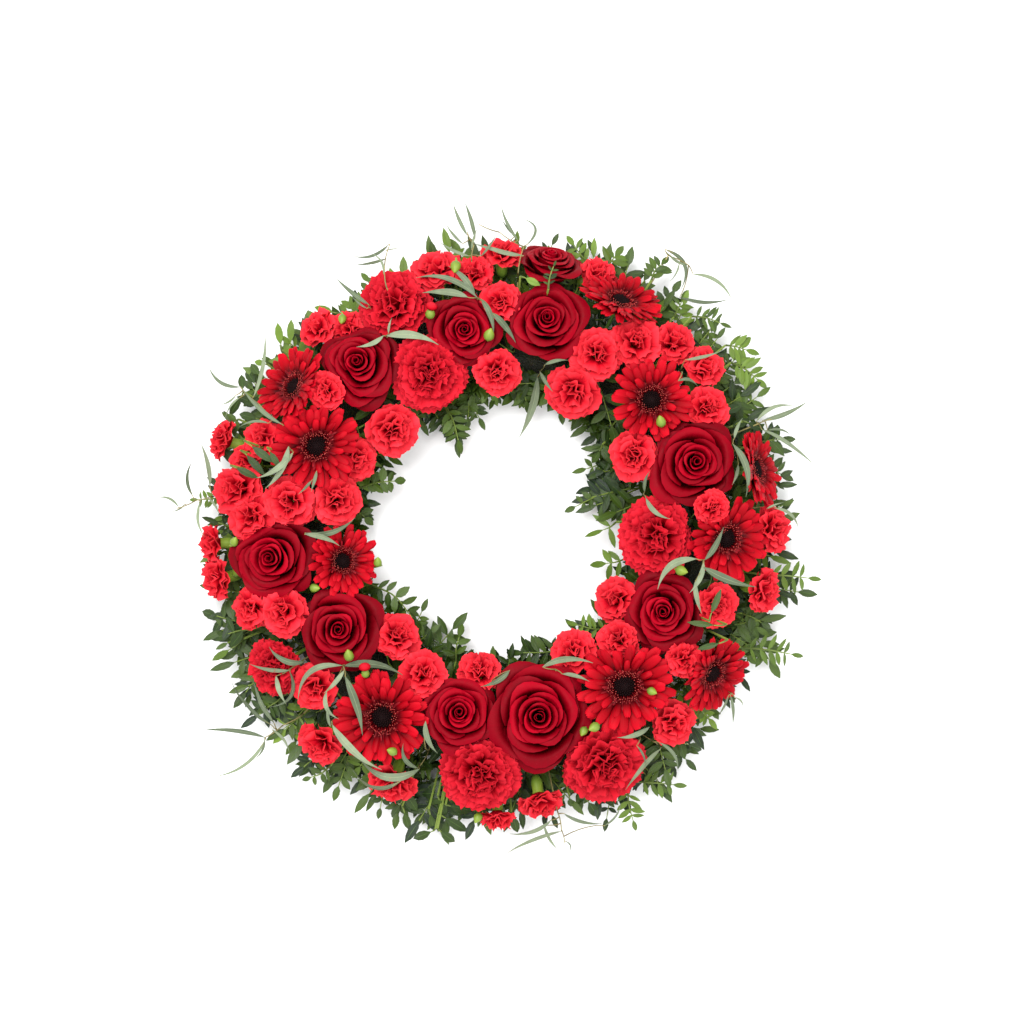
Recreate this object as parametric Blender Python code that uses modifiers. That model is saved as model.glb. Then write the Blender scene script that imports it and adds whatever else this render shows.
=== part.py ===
"""A round mourning wreath of red roses, gerberas and carnations, lying on its flat back.

Metres, +Z up.  The origin is the middle of the underside.  +Y is the top of the wreath as it is
looked at from above and +X is its right-hand side.  The stems are pushed into a padded ring, a skirt
of pistacia leaves fringes it under the blooms, and eucalyptus trails over them.
"""
import math

import bmesh
import bpy
from mathutils import Matrix, Vector
from mathutils.bvhtree import BVHTree

MM = 0.001
UP = Vector((0, 0, 1))

# The ring that every stem is pushed into: a flat back and a domed front.
RING_RADIUS = 0.172
RING_WIDTH = 0.064
RING_HEIGHT = 0.045
RING_STEPS = 32
DOME_STEPS = 6
CORE_HEIGHT = 0.018
SOCKET_DEPTH = 0.016
STEM_CLEARANCE = 0.0003
TOUCH_GAP = 0.0003

# How the blooms sit round the ring's section: above its middle they face up, and towards its sides
# they lean out and drop.
STAND_OFF = 0.036
SIDE_REACH = 0.070
SIDE_LEAN = math.radians(46)
SIDE_DROP = 0.028
SKIRT_CEILING = 0.026

ROSE_STEM = 0.0056
GERBERA_STEM = 0.0048
CARNATION_STEM = 0.0042
SPRAY_STEM = 0.0032
SIDE_STEM = 0.0024
PISTACIA_STEM = 0.0030
RACHIS = 0.0018
EUCALYPTUS_STEM = 0.0022
LEAF_THICKNESS = 0.0012
LEAFLET_LENGTH = 0.027
LEAFLET_WIDTH = 0.0115
LEAFLET_ROOT = 0.0030
LEAFLET_PITCH = 0.0145
SHOOT_LENGTH = 0.005
SHOOT_TIP = 0.003
STALK_REACH = 0.007
FORK_TAPER = 0.004
LEAF_LEVEL = 0.005
LEAF_STEP = 0.0055
LEAF_RISE = 0.003
BLADE_WIDTH = 0.0080
BLADE_BELLY = 1.1
BLADE_ABOVE = 0.003
RUNNER_HEIGHT = 0.007
FORK_HEIGHT = 0.004
FORK_STEP = 0.0022
CUP_FOOT = 0.002

# Each bloom: clock angle from +X in degrees, distance outside the ring's centre line in mm,
# diameter in mm, any further outward lean in degrees, and any further height in mm.
ROSES = (
    (129, 16, 69, 0), (99, 6, 58, -6), (77, 16, 64, 0), (79, 66, 54, 14), (20, 8, 72, 0),
    (335, -13, 64, 0), (283, -11, 86, 4), (258, -14, 64, 0), (211, -13, 69, 6), (186, 21, 69, 0),
)
GERBERAS = (
    (144, 47, 68, 14), (154, 0, 74, 0), (62, 60, 72, 16), (41, 4, 67, 0), (14, 63, 66, 22),
    (359, 27, 71, 4), (327, 52, 65, 6), (310, -2, 77, 0), (238, 14, 76, -4), (190, -39, 58, 0),
)
CARNATIONS = (
    (114, 46, 64, 0), (113, -22, 64, 0), (359, -35, 67, 0), (266, 36, 67, 0), (295, 49, 69, 0),
    (211, 53, 50, 0),
)
# Sprays: several small blooms on one forked stem, the first one on the main stem.
SPRAYS = (
    ((103, 63, 43, 0), (95, 55, 34, 0), (89, 72, 36, 8), (89, 28, 36, 0)),
    ((90, -33, 40, 0),),
    ((62, -33, 48, 0), (61, 5, 45, 0)),
    ((47, 54, 38, 0), (54, 33, 46, 0), (39, 59, 38, 0), (31, 40, 38, 0)),
    ((30, -36, 45, 0),),
    ((1, 68, 41, 8), (348, 65, 38, 10)),
    ((7, 13, 31, 0, 12),),
    ((326, 22, 31, 0, 4), (342, 27, 38, 0), (313, 52, 40, 0)),
    ((319, -33, 37, 0), (331, -55, 40, 0), (303, -51, 41, 0)),
    ((242, -36, 41, 0), (226, -49, 41, 0), (263, -53, 38, 0)),
    ((279, 65, 40, 24), (270, 76, 30, 24)),
    ((247, 63, 43, 8),),
    ((220, 33, 41, 0), (230, 67, 40, 0)),
    ((197, 51, 36, 0), (200, 23, 43, 0), (189, 75, 38, 10), (182, 77, 33, 24)),
    ((158, 47, 36, 0), (161, 81, 34, 24), (164, 55, 34, 0, -6)),
    ((170, 56, 50, 0), (176, 40, 45, 0)),
    ((171, 8, 46, 0), (168, -32, 43, 0), (152, -34, 38, 0, -6), (135, -45, 46, 0)),
    ((131, 65, 35, 0), (126, 48, 33, 0, -6), (140, 20, 33, 0, 6)),
    ((69, 71, 33, 0, -4),),
)

# Each pistacia shoot: clock angle, +1 for outwards or -1 into the hole, then its leaves as
# (clock angle, distance of the tip from the wreath's centre in mm).
PISTACIA = (
    (147, 1, ((133, 264), (147, 264), (161, 260))),
    (200, 1, ((188, 264), (200, 268), (213, 272))),
    (246, 1, ((231, 272), (245, 268), (259, 280))),
    (303, 1, ((291, 280), (303, 282), (316, 266))),
    (348, 1, ((335, 284), (349, 286), (4, 266))),
    (54, 1, ((36, 270), (54, 276), (71, 274))),
    (106, -1, ((114, 76), (99, 92))),
    (26, -1, ((36, 84), (19, 62))),
    (236, -1, ((245, 72), (226, 84))),
)
# Each low eucalyptus shoot: clock angle, then its leaves as (clock angle, tip distance in mm, bend
# in degrees).
EUCALYPTUS_LOW = (
    (176, ((173, 287, -24), (168, 274, 20), (180, 268, -12))),
    (98, ((98, 287, 8), (93, 272, -14), (85, 276, 26), (108, 270, -20))),
    (277, ((281, 284, 20), (273, 276, -20))),
)
# Each eucalyptus shoot that stands up between the blooms: clock angle, distance outside the centre
# line in mm, height in mm, then its leaves as (compass direction, length in mm, bend in degrees).
EUCALYPTUS_HIGH = (
    (353, 2, 103, ((72, 44, -20), (330, 52, 30), (210, 50, -24), (262, 40, 20))),
    (227, 2, 103, ((222, 56, 20), (350, 52, -30), (282, 56, -16), (160, 40, 18))),
)

ROSE_DEPTH = 0.72
GERBERA_DEPTH = 0.40
CARNATION_DEPTH = 1.05
SMALL_DEPTH = 1.25
KINDS = {
    "rose": {"depth": ROSE_DEPTH, "stem": ROSE_STEM, "lift": 0.0},
    "gerbera": {"depth": GERBERA_DEPTH, "stem": GERBERA_STEM, "lift": 0.010},
    "carnation": {"depth": CARNATION_DEPTH, "stem": CARNATION_STEM, "lift": -0.001},
    "small": {"depth": SMALL_DEPTH, "stem": SPRAY_STEM, "lift": 0.002},
}
STEM_SIDES = 4
ROSE_LOBES = 10
SPIRAL_STEPS = 8
SPIRAL_TURNS = 2.25
GERBERA_RAYS = 14
CARNATION_FRILLS = 12
SMALL_FRILLS = 8


def clear_scene():
    for thing in list(bpy.data.objects):
        bpy.data.objects.remove(thing, do_unlink=True)


def new_collection(name):
    group = bpy.data.collections.new(name)
    bpy.context.scene.collection.children.link(group)
    return group


def make_material(name, colour, roughness, metallic=0.0):
    material = bpy.data.materials.new(name)
    material.use_nodes = True
    shader = material.node_tree.nodes["Principled BSDF"]
    shader.inputs["Base Color"].default_value = (*colour, 1.0)
    shader.inputs["Roughness"].default_value = roughness
    shader.inputs["Metallic"].default_value = metallic
    return material


def spoke(clock):
    """The unit vector from the wreath's middle towards a clock angle in degrees."""
    return Vector((math.cos(math.radians(clock)), math.sin(math.radians(clock)), 0))


def basis(axis):
    """Two directions square to an axis, the same ones for the same axis."""
    side = UP.cross(axis) if abs(axis.z) < 0.95 else Vector((0, 1, 0)).cross(axis)
    side.normalize()
    return side, axis.cross(side)


def round_loop(centre, axis, radius, sides):
    side, other = basis(axis)
    turn = math.tau / sides
    return [
        centre + (side * math.cos(k * turn) + other * math.sin(k * turn)) * radius
        for k in range(sides)
    ]


def stitch(mesh, first, second, start=None):
    """Triangles between two loops of vertices, whose counts may differ, without a twist."""
    n, m = len(first), len(second)

    def spread(start):
        pairs = ((vert, second[(start + k * m // n) % m]) for k, vert in enumerate(first))
        return sum((one.co - other.co).length for one, other in pairs)

    if start is None:
        start = min(range(m), key=spread)
    second = second[start:] + second[:start]
    i = j = 0
    while i < n or j < m:
        if j == m or (i < n and (i + 1) * m <= (j + 1) * n):
            mesh.faces.new((first[i % n], first[(i + 1) % n], second[j % m]))
            i += 1
        else:
            mesh.faces.new((first[i % n], second[(j + 1) % m], second[j % m]))
            j += 1


def add_loop(mesh, points):
    return [mesh.verts.new(point) for point in points]


def fan(mesh, loop, tip):
    """Closes a loop of vertices to one point."""
    point = mesh.verts.new(tip)
    for k, vert in enumerate(loop):
        mesh.faces.new((vert, loop[(k + 1) % len(loop)], point))


def skin(mesh, loops):
    """A closed body through a row of loops of points, where a single point closes an end."""
    previous = None
    for points in loops:
        if len(points) == 1 and previous is None:
            previous = points[0]
            continue
        if len(points) == 1:
            fan(mesh, previous, points[0])
            return
        current = add_loop(mesh, points)
        if isinstance(previous, Vector):
            fan(mesh, current, previous)
        elif previous is None:
            mesh.faces.new(current)
        else:
            stitch(mesh, previous, current)
        previous = current
    mesh.faces.new(previous)


def finish_mesh(mesh, name):
    bmesh.ops.recalc_face_normals(mesh, faces=mesh.faces)
    bmesh.ops.triangulate(mesh, faces=mesh.faces)
    if mesh.calc_volume(signed=True) < 0:
        bmesh.ops.reverse_faces(mesh, faces=mesh.faces)
    data = bpy.data.meshes.new(name)
    mesh.to_mesh(data)
    mesh.free()
    return data


def add_object(name, data, group, material):
    thing = bpy.data.objects.new(name, data)
    group.objects.link(thing)
    data.materials.clear()
    data.materials.append(material)
    data.shade_smooth()
    data.set_sharp_from_angle(angle=math.radians(50))
    return thing


def fuse(name, meshes):
    """One closed body out of several that touch, by exact Boolean union."""
    things = [bpy.data.objects.new(name, data) for data in meshes]
    for thing in things:
        bpy.context.scene.collection.objects.link(thing)
    for other in things[1:]:
        union = things[0].modifiers.new("union", "BOOLEAN")
        union.operation = "UNION"
        union.solver = "EXACT"
        union.object = other
    bpy.context.view_layer.update()
    shape = things[0].evaluated_get(bpy.context.evaluated_depsgraph_get())
    data = bpy.data.meshes.new_from_object(shape)
    for thing in things:
        bpy.data.objects.remove(thing, do_unlink=True)
    data.name = name
    return data


# Places round the ring's section


def dome_reach(angle):
    """How far the ring's domed surface is from its core line, at an angle round its section."""
    across, over = RING_WIDTH / 2, RING_HEIGHT
    x, z = math.cos(angle), math.sin(angle)
    a = (x / across) ** 2 + (z / over) ** 2
    b = 2 * z * CORE_HEIGHT / over ** 2
    c = (CORE_HEIGHT / over) ** 2 - 1
    return (-b + math.sqrt(b * b - 4 * a * c)) / (2 * a)


def on_section(clock, angle, distance):
    """The point at a distance from the core line, at an angle round the section."""
    out = spoke(clock)
    core = out * RING_RADIUS + UP * CORE_HEIGHT
    return core + (out * math.cos(angle) + UP * math.sin(angle)) * distance


def section_place(point):
    """The clock angle and section angle at which a point stands over the ring."""
    clock = math.degrees(math.atan2(point.y, point.x))
    across = math.hypot(point.x, point.y) - RING_RADIUS
    return clock, math.atan2(point.z - CORE_HEIGHT, across)


def socket_path(clock, angle):
    """The straight run of a stem in the ring: its end inside, and just above its mouth."""
    reach = dome_reach(angle)
    mouth = on_section(clock, angle, reach + 2 * MM)
    end = on_section(clock, angle, reach - SOCKET_DEPTH + STEM_CLEARANCE)
    return end, mouth


def cut_socket(sockets, clock, angle, diameter):
    """Adds the hole that a stem fits, larger by the clearance all round."""
    reach = dome_reach(angle)
    mouth = on_section(clock, angle, reach + 4 * MM)
    floor = on_section(clock, angle, reach - SOCKET_DEPTH)
    axis = (mouth - floor).normalized()
    radius = diameter / 2 + STEM_CLEARANCE / math.cos(math.pi / STEM_SIDES)
    loops = [round_loop(spot, axis, radius, STEM_SIDES) for spot in (floor, mouth)]
    skin(sockets, loops)


def stem_loops(path, diameter, straight=2):
    """Loops along a stem from its foot upwards; the first ones, in its socket, run straight."""
    loops = []
    for k, spot in enumerate(path):
        ahead = path[min(k + 1, len(path) - 1)] - path[max(k - 1, 0)]
        if k < straight:
            ahead = path[1] - path[0]
        loops.append(round_loop(spot, ahead.normalized(), diameter / 2, STEM_SIDES))
    return loops


def branch_loops(path, diameter):
    """Loops along a side branch that grows to its full size out of a point in its main stem."""
    full = path[0] + (path[1] - path[0]).normalized() * FORK_TAPER
    return [[path[0]]] + stem_loops([path[0], full] + path[1:], diameter, 0)[1:]


# Blooms


class Bloom:
    """One flower head: its place, the way it faces, and the planes its neighbours press it with."""

    def __init__(self, index, kind, clock, offset, diameter, lean, lift=0):
        share = offset * MM / SIDE_REACH
        out = spoke(clock)
        tilt = SIDE_LEAN * share + math.radians(lean)
        height = RING_HEIGHT + STAND_OFF + KINDS[kind]["lift"] + lift * MM
        height -= SIDE_DROP * share * share
        self.kind = kind
        self.centre = out * (RING_RADIUS + offset * MM) + UP * height
        self.axis = out * math.sin(tilt) + UP * math.cos(tilt)
        self.radius = diameter * MM / 2
        self.depth = self.radius * KINDS[kind]["depth"]
        side, other = basis(self.axis)
        turn = Matrix.Rotation(index * 2.4, 3, self.axis)
        self.frame = Matrix((turn @ side, turn @ other, self.axis)).transposed()
        self.planes = [(-UP, height - SKIRT_CEILING)]
        self.base = self.centre - self.axis * self.depth

    def press(self, other):
        """A plane between two neighbours, at the same share of both their radii."""
        towards = other.centre - self.centre
        gap = towards.length
        if gap > self.radius + other.radius:
            return
        share = gap * self.radius / (self.radius + other.radius)
        self.planes.append((towards.normalized(), share - TOUCH_GAP / 2))

    def press_post(self, foot, top, radius):
        """A plane against an upright stem that stands between the blooms."""
        along = (top - foot).normalized()
        near = foot + along * (self.centre - foot).dot(along)
        towards = near - self.centre
        if towards.length < self.radius + radius:
            room = towards.length - radius - TOUCH_GAP
            self.planes.append((towards.normalized(), room))

    def place(self, local):
        """A point of the bloom's own shape, in radii, squeezed inside its planes."""
        point = self.frame @ Vector(local) * self.radius
        length = point.length
        if length == 0:
            return self.centre.copy()
        way = point / length
        room = length
        for normal, distance in self.planes:
            facing = way.dot(normal)
            if facing > 1e-6:
                full = self.radius * 1.02
                room = min(room, length * min(1.0, distance / facing / full))
        return self.centre + way * room

    def loop(self, count, radius, height, start=0.0, frill=0.0, wave=0.0):
        """A ring of points about the bloom's axis; every second one stands in and up by a frill."""
        points = []
        for k in range(count):
            angle = math.tau * (k + start) / count
            turned_in = (k % 2) * frill
            spread = radius * (1 - turned_in)
            points.append(self.place((
                spread * math.cos(angle), spread * math.sin(angle), height + (k % 2) * wave,
            )))
        return points

    def stem_path(self):
        clock, angle = section_place(self.base)
        end, mouth = socket_path(clock, angle)
        drop = (self.base - mouth).length
        bend = self.base - self.axis * min(0.4 * drop, 7 * MM)
        return [end, mouth, bend]

    def cut(self, sockets):
        clock, angle = section_place(self.base)
        cut_socket(sockets, clock, angle, KINDS[self.kind]["stem"])


def stem_of(bloom):
    return stem_loops(bloom.stem_path() + [bloom.base], KINDS[bloom.kind]["stem"])[:-1]


def rose_mesh(bloom):
    """A rose: outer petals turned back in lobes, and a spiral of petals winding up to the middle."""
    mesh = bmesh.new()
    stem = KINDS["rose"]["stem"] / 2 / bloom.radius
    rows = [
        bloom.loop(STEM_SIDES, stem, -ROSE_DEPTH),
        bloom.loop(ROSE_LOBES, 0.56, -0.50),
        bloom.loop(ROSE_LOBES, 0.94, -0.12, frill=0.05),
        bloom.loop(ROSE_LOBES, 1.00, 0.10, frill=0.11, wave=0.06),
    ]
    loops = [add_loop(mesh, points) for points in stem_of(bloom)]
    mesh.faces.new(loops[0])
    loops += [add_loop(mesh, points) for points in rows]
    for lower, upper in zip(loops, loops[1:]):
        stitch(mesh, lower, upper)
    steps = round(SPIRAL_STEPS * SPIRAL_TURNS)
    crest, valley = [], []
    for k in range(steps + 1):
        angle = math.tau * k / SPIRAL_STEPS
        inward = k / steps
        radius = 0.84 - 0.70 * inward
        height = 0.27 + 0.26 * inward
        for row, reach, drop in ((crest, radius, 0.0), (valley, radius - 0.11, 0.17)):
            spot = (reach * math.cos(angle), reach * math.sin(angle), height - drop)
            row.append(mesh.verts.new(bloom.place(spot)))
    stitch(mesh, loops[-1], crest[:SPIRAL_STEPS + 1] + [valley[0]], start=0)
    for k in range(steps):
        mesh.faces.new((crest[k], crest[k + 1], valley[k + 1], valley[k]))
    for k in range(steps - SPIRAL_STEPS):
        inner = k + SPIRAL_STEPS
        mesh.faces.new((valley[k], valley[k + 1], crest[inner + 1], crest[inner]))
    mesh.faces.new(valley[steps - SPIRAL_STEPS:] + [crest[steps]])
    return finish_mesh(mesh, "rose")


def gerbera_mesh(bloom):
    """A gerbera: one whorl of pointed rays round a domed disc, over a shallow green cup."""
    mesh = bmesh.new()
    stem = KINDS["gerbera"]["stem"] / 2 / bloom.radius
    rays = GERBERA_RAYS
    loops = stem_of(bloom)
    loops.append(bloom.loop(STEM_SIDES, stem, -GERBERA_DEPTH))
    loops.append(bloom.loop(rays, 0.26, -0.22))
    rim = []
    for k in range(rays):
        middle = math.tau * k / rays
        half = math.pi / rays
        tip_height = 0.10 if k % 2 else 0.03
        for angle, reach, height in (
            (middle - half, 0.66, -0.02),
            (middle - 0.45 * half, 0.97, tip_height),
            (middle + 0.35 * half, 1.0, tip_height),
        ):
            rim.append(bloom.place((reach * math.cos(angle), reach * math.sin(angle), height)))
    loops.append(rim)
    loops.append(bloom.loop(rays, 0.34, 0.08))
    loops.append(bloom.loop(6, 0.26, 0.17))
    skin(mesh, loops)
    return finish_mesh(mesh, "gerbera")


def carnation_mesh(bloom, frills, stem_end):
    """A carnation: a domed head of frilled petals over the long green cup that holds them."""
    mesh = bmesh.new()
    depth = KINDS[bloom.kind]["depth"]
    stem = KINDS[bloom.kind]["stem"] / 2 / bloom.radius
    loops = list(stem_end)
    if frills > SMALL_FRILLS:
        loops.append(bloom.loop(STEM_SIDES, stem, -depth))
        loops.append(bloom.loop(STEM_SIDES, 0.22, -0.55))
    else:
        loops.append(bloom.loop(STEM_SIDES, 0.18, -0.92 * depth))
    loops.append(bloom.loop(frills, 1.0, -0.05, frill=0.13, wave=0.12))
    if frills > SMALL_FRILLS:
        loops.append(bloom.loop(frills, 0.74, 0.28, start=0.5, frill=0.16, wave=0.12))
        loops.append(bloom.loop(frills // 2, 0.40, 0.42, frill=0.2, wave=0.14))
    else:
        loops.append(bloom.loop(5, 0.66, 0.34, start=0.5, frill=0.16, wave=0.1))
    loops.append([bloom.place((0, 0, 0.44))])
    skin(mesh, loops)
    return finish_mesh(mesh, "carnation")


def side_stem(bloom, main, number):
    """The path of a side bloom's stem from its fork on the main stem, over the ring, to its cup."""
    clock, angle = section_place(bloom.base)
    main_clock, main_angle = section_place(main.base)
    swing = (main_clock - clock + 180) % 360 - 180
    _, mouth, bend = main.stem_path()
    rise = bend - mouth
    height = min(FORK_HEIGHT + number * FORK_STEP, 0.9 * rise.length)
    path = [mouth + rise.normalized() * height]
    for share in (0.6, 0.25):
        way = angle + (main_angle - angle) * share
        spot = on_section(clock + swing * share, way, dome_reach(way) + RUNNER_HEIGHT)
        path.append(spot)
    return path + [bloom.base - bloom.axis * CUP_FOOT]


def spray_mesh(blooms):
    """One forked stem with its blooms, fused into one body."""
    main = blooms[0]
    meshes = [carnation_mesh(main, SMALL_FRILLS, stem_of(main))]
    for number, bloom in enumerate(blooms[1:]):
        loops = branch_loops(side_stem(bloom, main, number), SIDE_STEM)
        meshes.append(carnation_mesh(bloom, SMALL_FRILLS, loops))
    return fuse("spray", meshes)


# Leaves


def leaf_loops(path, half_width, belly):
    """A thin leaf along a path of points: pointed at both ends and ridged along its middle."""
    loops = [[path[0]]]
    last = len(path) - 1
    for k in range(1, last):
        along = (path[k + 1] - path[k - 1]).normalized()
        side = along.cross(UP).normalized()
        ridge = side.cross(along)
        share = k / last
        width = half_width * math.sin(math.pi * share ** belly)
        loops.append([
            path[k] + side * width, path[k] + ridge * LEAF_THICKNESS / 2,
            path[k] - side * width, path[k] - ridge * LEAF_THICKNESS / 2,
        ])
    loops.append([path[last]])
    return loops


def body_of(loops):
    mesh = bmesh.new()
    skin(mesh, loops)
    return finish_mesh(mesh, "leaf")


def pinnate_leaf(start, knee, tip):
    """A leaf stalk with leaflets in pairs and one at its tip, as one closed body."""
    along = (tip - knee).normalized()
    ridge = along.cross(UP).normalized().cross(along)
    length = (tip - knee).length - LEAFLET_LENGTH
    pairs = int(length / LEAFLET_PITCH)
    stations = [knee]
    for pair in range(pairs):
        root = knee + along * length * (pair + 0.55) / pairs
        stations += [root, root + along * LEAFLET_ROOT]
    stations.append(knee + along * length)
    mesh = bmesh.new()
    loops = branch_loops([start] + stations, RACHIS)
    rings = [add_loop(mesh, points) for points in loops[1:]]
    fan(mesh, rings[0], loops[0][0])
    for k, (near, far) in enumerate(zip(rings, rings[1:])):
        if k < 2 or k % 2 or k == len(rings) - 2:
            stitch(mesh, near, far)
        else:
            add_leaflet_pair(mesh, near, far, along, ridge)
    body = knee + along * (length + 0.45 * LEAFLET_LENGTH)
    side = along.cross(ridge)
    wide = LEAFLET_WIDTH / 2
    last = add_loop(mesh, [
        body - side * wide, body + ridge * LEAF_THICKNESS / 2,
        body + side * wide, body - ridge * LEAF_THICKNESS / 2,
    ])
    stitch(mesh, rings[-1], last)
    fan(mesh, last, tip)
    return finish_mesh(mesh, "leaf")


def add_leaflet_pair(mesh, near, far, along, ridge):
    """Two leaflets out of the stalk's sides between two of its rings, and the stalk between."""
    middle = sum((vert.co for vert in near + far), Vector()) / (2 * STEM_SIDES)
    side = along.cross(ridge)
    crest = max(range(STEM_SIDES), key=lambda k: (near[k].co - middle).dot(ridge))
    keel = (crest + 2) % STEM_SIDES
    for edge in ((crest + 1) % STEM_SIDES, (crest + 3) % STEM_SIDES):
        hand = math.copysign(1, (near[edge].co - middle).dot(side))
        way = (along * 0.62 + side * hand * 0.78).normalized()
        across = (along * 0.78 - side * hand * 0.62).normalized()
        belly = middle + way * LEAFLET_LENGTH * 0.5
        outline = add_loop(mesh, [
            belly - across * LEAFLET_WIDTH / 2,
            middle + way * LEAFLET_LENGTH,
            belly + across * LEAFLET_WIDTH / 2,
        ])
        crown = mesh.verts.new(belly + ridge * LEAF_THICKNESS)
        border = [near[crest], near[edge]] + outline + [far[edge], far[crest]]
        for k, vert in enumerate(border):
            mesh.faces.new((vert, border[(k + 1) % len(border)], crown))
        mesh.faces.new([near[edge]] + outline + [far[edge]])
        mesh.faces.new((near[keel], near[edge], far[edge], far[keel]))


class Under:
    """Finds how much room there is below and above the blooms."""

    def __init__(self, things):
        joined = bmesh.new()
        for thing in things:
            joined.from_mesh(thing.data)
        self.tree = BVHTree.FromBMesh(joined)
        joined.free()

    def below(self, x, y):
        hit = self.tree.ray_cast(Vector((x, y, -1)), UP)[0]
        return hit.z if hit else None

    def above(self, x, y):
        hit = self.tree.ray_cast(Vector((x, y, 1)), -UP)[0]
        return hit.z if hit else None


def pistacia_mesh(clock, outwards, leaves, sockets):
    """A shoot of pinnate leaves that leaves the ring's side low down, under the blooms."""
    angle = math.radians(-6) if outwards > 0 else math.radians(186)
    end, mouth = socket_path(clock, angle)
    cut_socket(sockets, clock, angle, PISTACIA_STEM)
    out = spoke(clock) * outwards
    fork = mouth + out * SHOOT_LENGTH
    main = [end, mouth, fork, fork + out * SHOOT_TIP]
    meshes = [body_of(stem_loops(main, PISTACIA_STEM))]
    aside = sorted(leaves, key=lambda leaf: -abs(leaf[0] - clock))
    for k, (tip_clock, reach) in enumerate(leaves):
        start = fork + out * SHOOT_TIP * (aside.index((tip_clock, reach)) / len(leaves) - 0.5)
        height = LEAF_LEVEL + (k + 1) % 3 * LEAF_STEP
        knee = spoke(tip_clock) * (fork.xy.length + outwards * STALK_REACH) + UP * height
        tip = spoke(tip_clock) * reach * MM + UP * (height + LEAF_RISE)
        meshes.append(pinnate_leaf(start, knee, tip))
    return fuse("pistacia", meshes)


def eucalyptus_low_mesh(clock, leaves, sockets):
    """Long narrow leaves on a thin stem that reaches out under the blooms."""
    angle = math.radians(14)
    end, mouth = socket_path(clock, angle)
    cut_socket(sockets, clock, angle, EUCALYPTUS_STEM)
    fork = mouth + spoke(clock) * 10 * MM
    fork.z = SKIRT_CEILING - 4 * MM
    main = [end, mouth, fork, fork + spoke(clock) * 2 * MM]
    meshes = [body_of(stem_loops(main, EUCALYPTUS_STEM))]
    for tip_clock, reach, bend in leaves:
        tip = spoke(tip_clock) * reach * MM
        tip.z = fork.z
        meshes.append(body_of(leaf_loops(arc(fork, tip, bend, 5), BLADE_WIDTH / 2, BLADE_BELLY)))
    return fuse("eucalyptus", meshes)


def arc(start, end, bend, count):
    """Points along a sideways arc between two ends."""
    along = end - start
    side = along.cross(UP).normalized()
    bow = along.length * math.tan(math.radians(bend) / 2) / 2
    points = []
    for k in range(count + 1):
        share = k / count
        points.append(start.lerp(end, share) + side * bow * 4 * share * (1 - share))
    return points


def eucalyptus_high_mesh(post, leaves, room):
    """A stem that stands up between the blooms, with its leaves laid over them."""
    end, mouth, top = post
    meshes = [body_of(stem_loops([end, mouth, top], EUCALYPTUS_STEM))]
    for compass, length, bend in leaves:
        way = spoke(compass)
        start = top - UP * 2 * MM
        path = arc(start, start + way * length * MM, bend, 5)
        for k, spot in enumerate(path[1:], 1):
            heights = [start.z + BLADE_ABOVE - k * MM]
            for shift in (-0.6, 0.0, 0.6):
                for side in (-1, 0, 1):
                    probe = spot + way * shift * length * MM / 6
                    probe += way.cross(UP) * side * BLADE_WIDTH / 2
                    found = room.above(probe.x, probe.y)
                    if found is not None:
                        heights.append(found + BLADE_ABOVE)
            spot.z = max(heights)
        meshes.append(body_of(leaf_loops(path, BLADE_WIDTH / 2, BLADE_BELLY)))
    return fuse("eucalyptus", meshes)


def high_post(clock, offset, height):
    """The end in the ring, the mouth of the socket and the top of an upright stem."""
    foot = spoke(clock) * (RING_RADIUS + offset * MM) + UP * height * MM
    angle = section_place(foot)[1]
    end, mouth = socket_path(clock, angle)
    return end, mouth, foot


def make_ring(group, cutters, material, sockets):
    """A D-shaped profile turned about the wreath's axis, with a hole for every stem."""
    data = bpy.data.meshes.new("wreath_ring")
    across = RING_WIDTH / 2
    points = []
    for k in range(DOME_STEPS + 1):
        angle = math.pi * (1 - k / DOME_STEPS)
        points.append((RING_RADIUS + across * math.cos(angle), 0, RING_HEIGHT * math.sin(angle)))
    edges = [(k, (k + 1) % len(points)) for k in range(len(points))]
    data.from_pydata(points, edges, [])
    ring = bpy.data.objects.new("wreath_ring", data)
    group.objects.link(ring)
    turn = ring.modifiers.new("turn", "SCREW")
    turn.steps = turn.render_steps = RING_STEPS
    turn.use_merge_vertices = True
    turn.merge_threshold = 0.0001
    turn.use_smooth_shade = True
    cutter = add_object("socket_cutter", finish_mesh(sockets, "sockets"), cutters, material)
    cutter.hide_render = True
    cutter.display_type = "WIRE"
    cut = ring.modifiers.new("sockets", "BOOLEAN")
    cut.operation = "DIFFERENCE"
    cut.solver = "EXACT"
    cut.object = cutter
    data.materials.append(material)
    return ring


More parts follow.
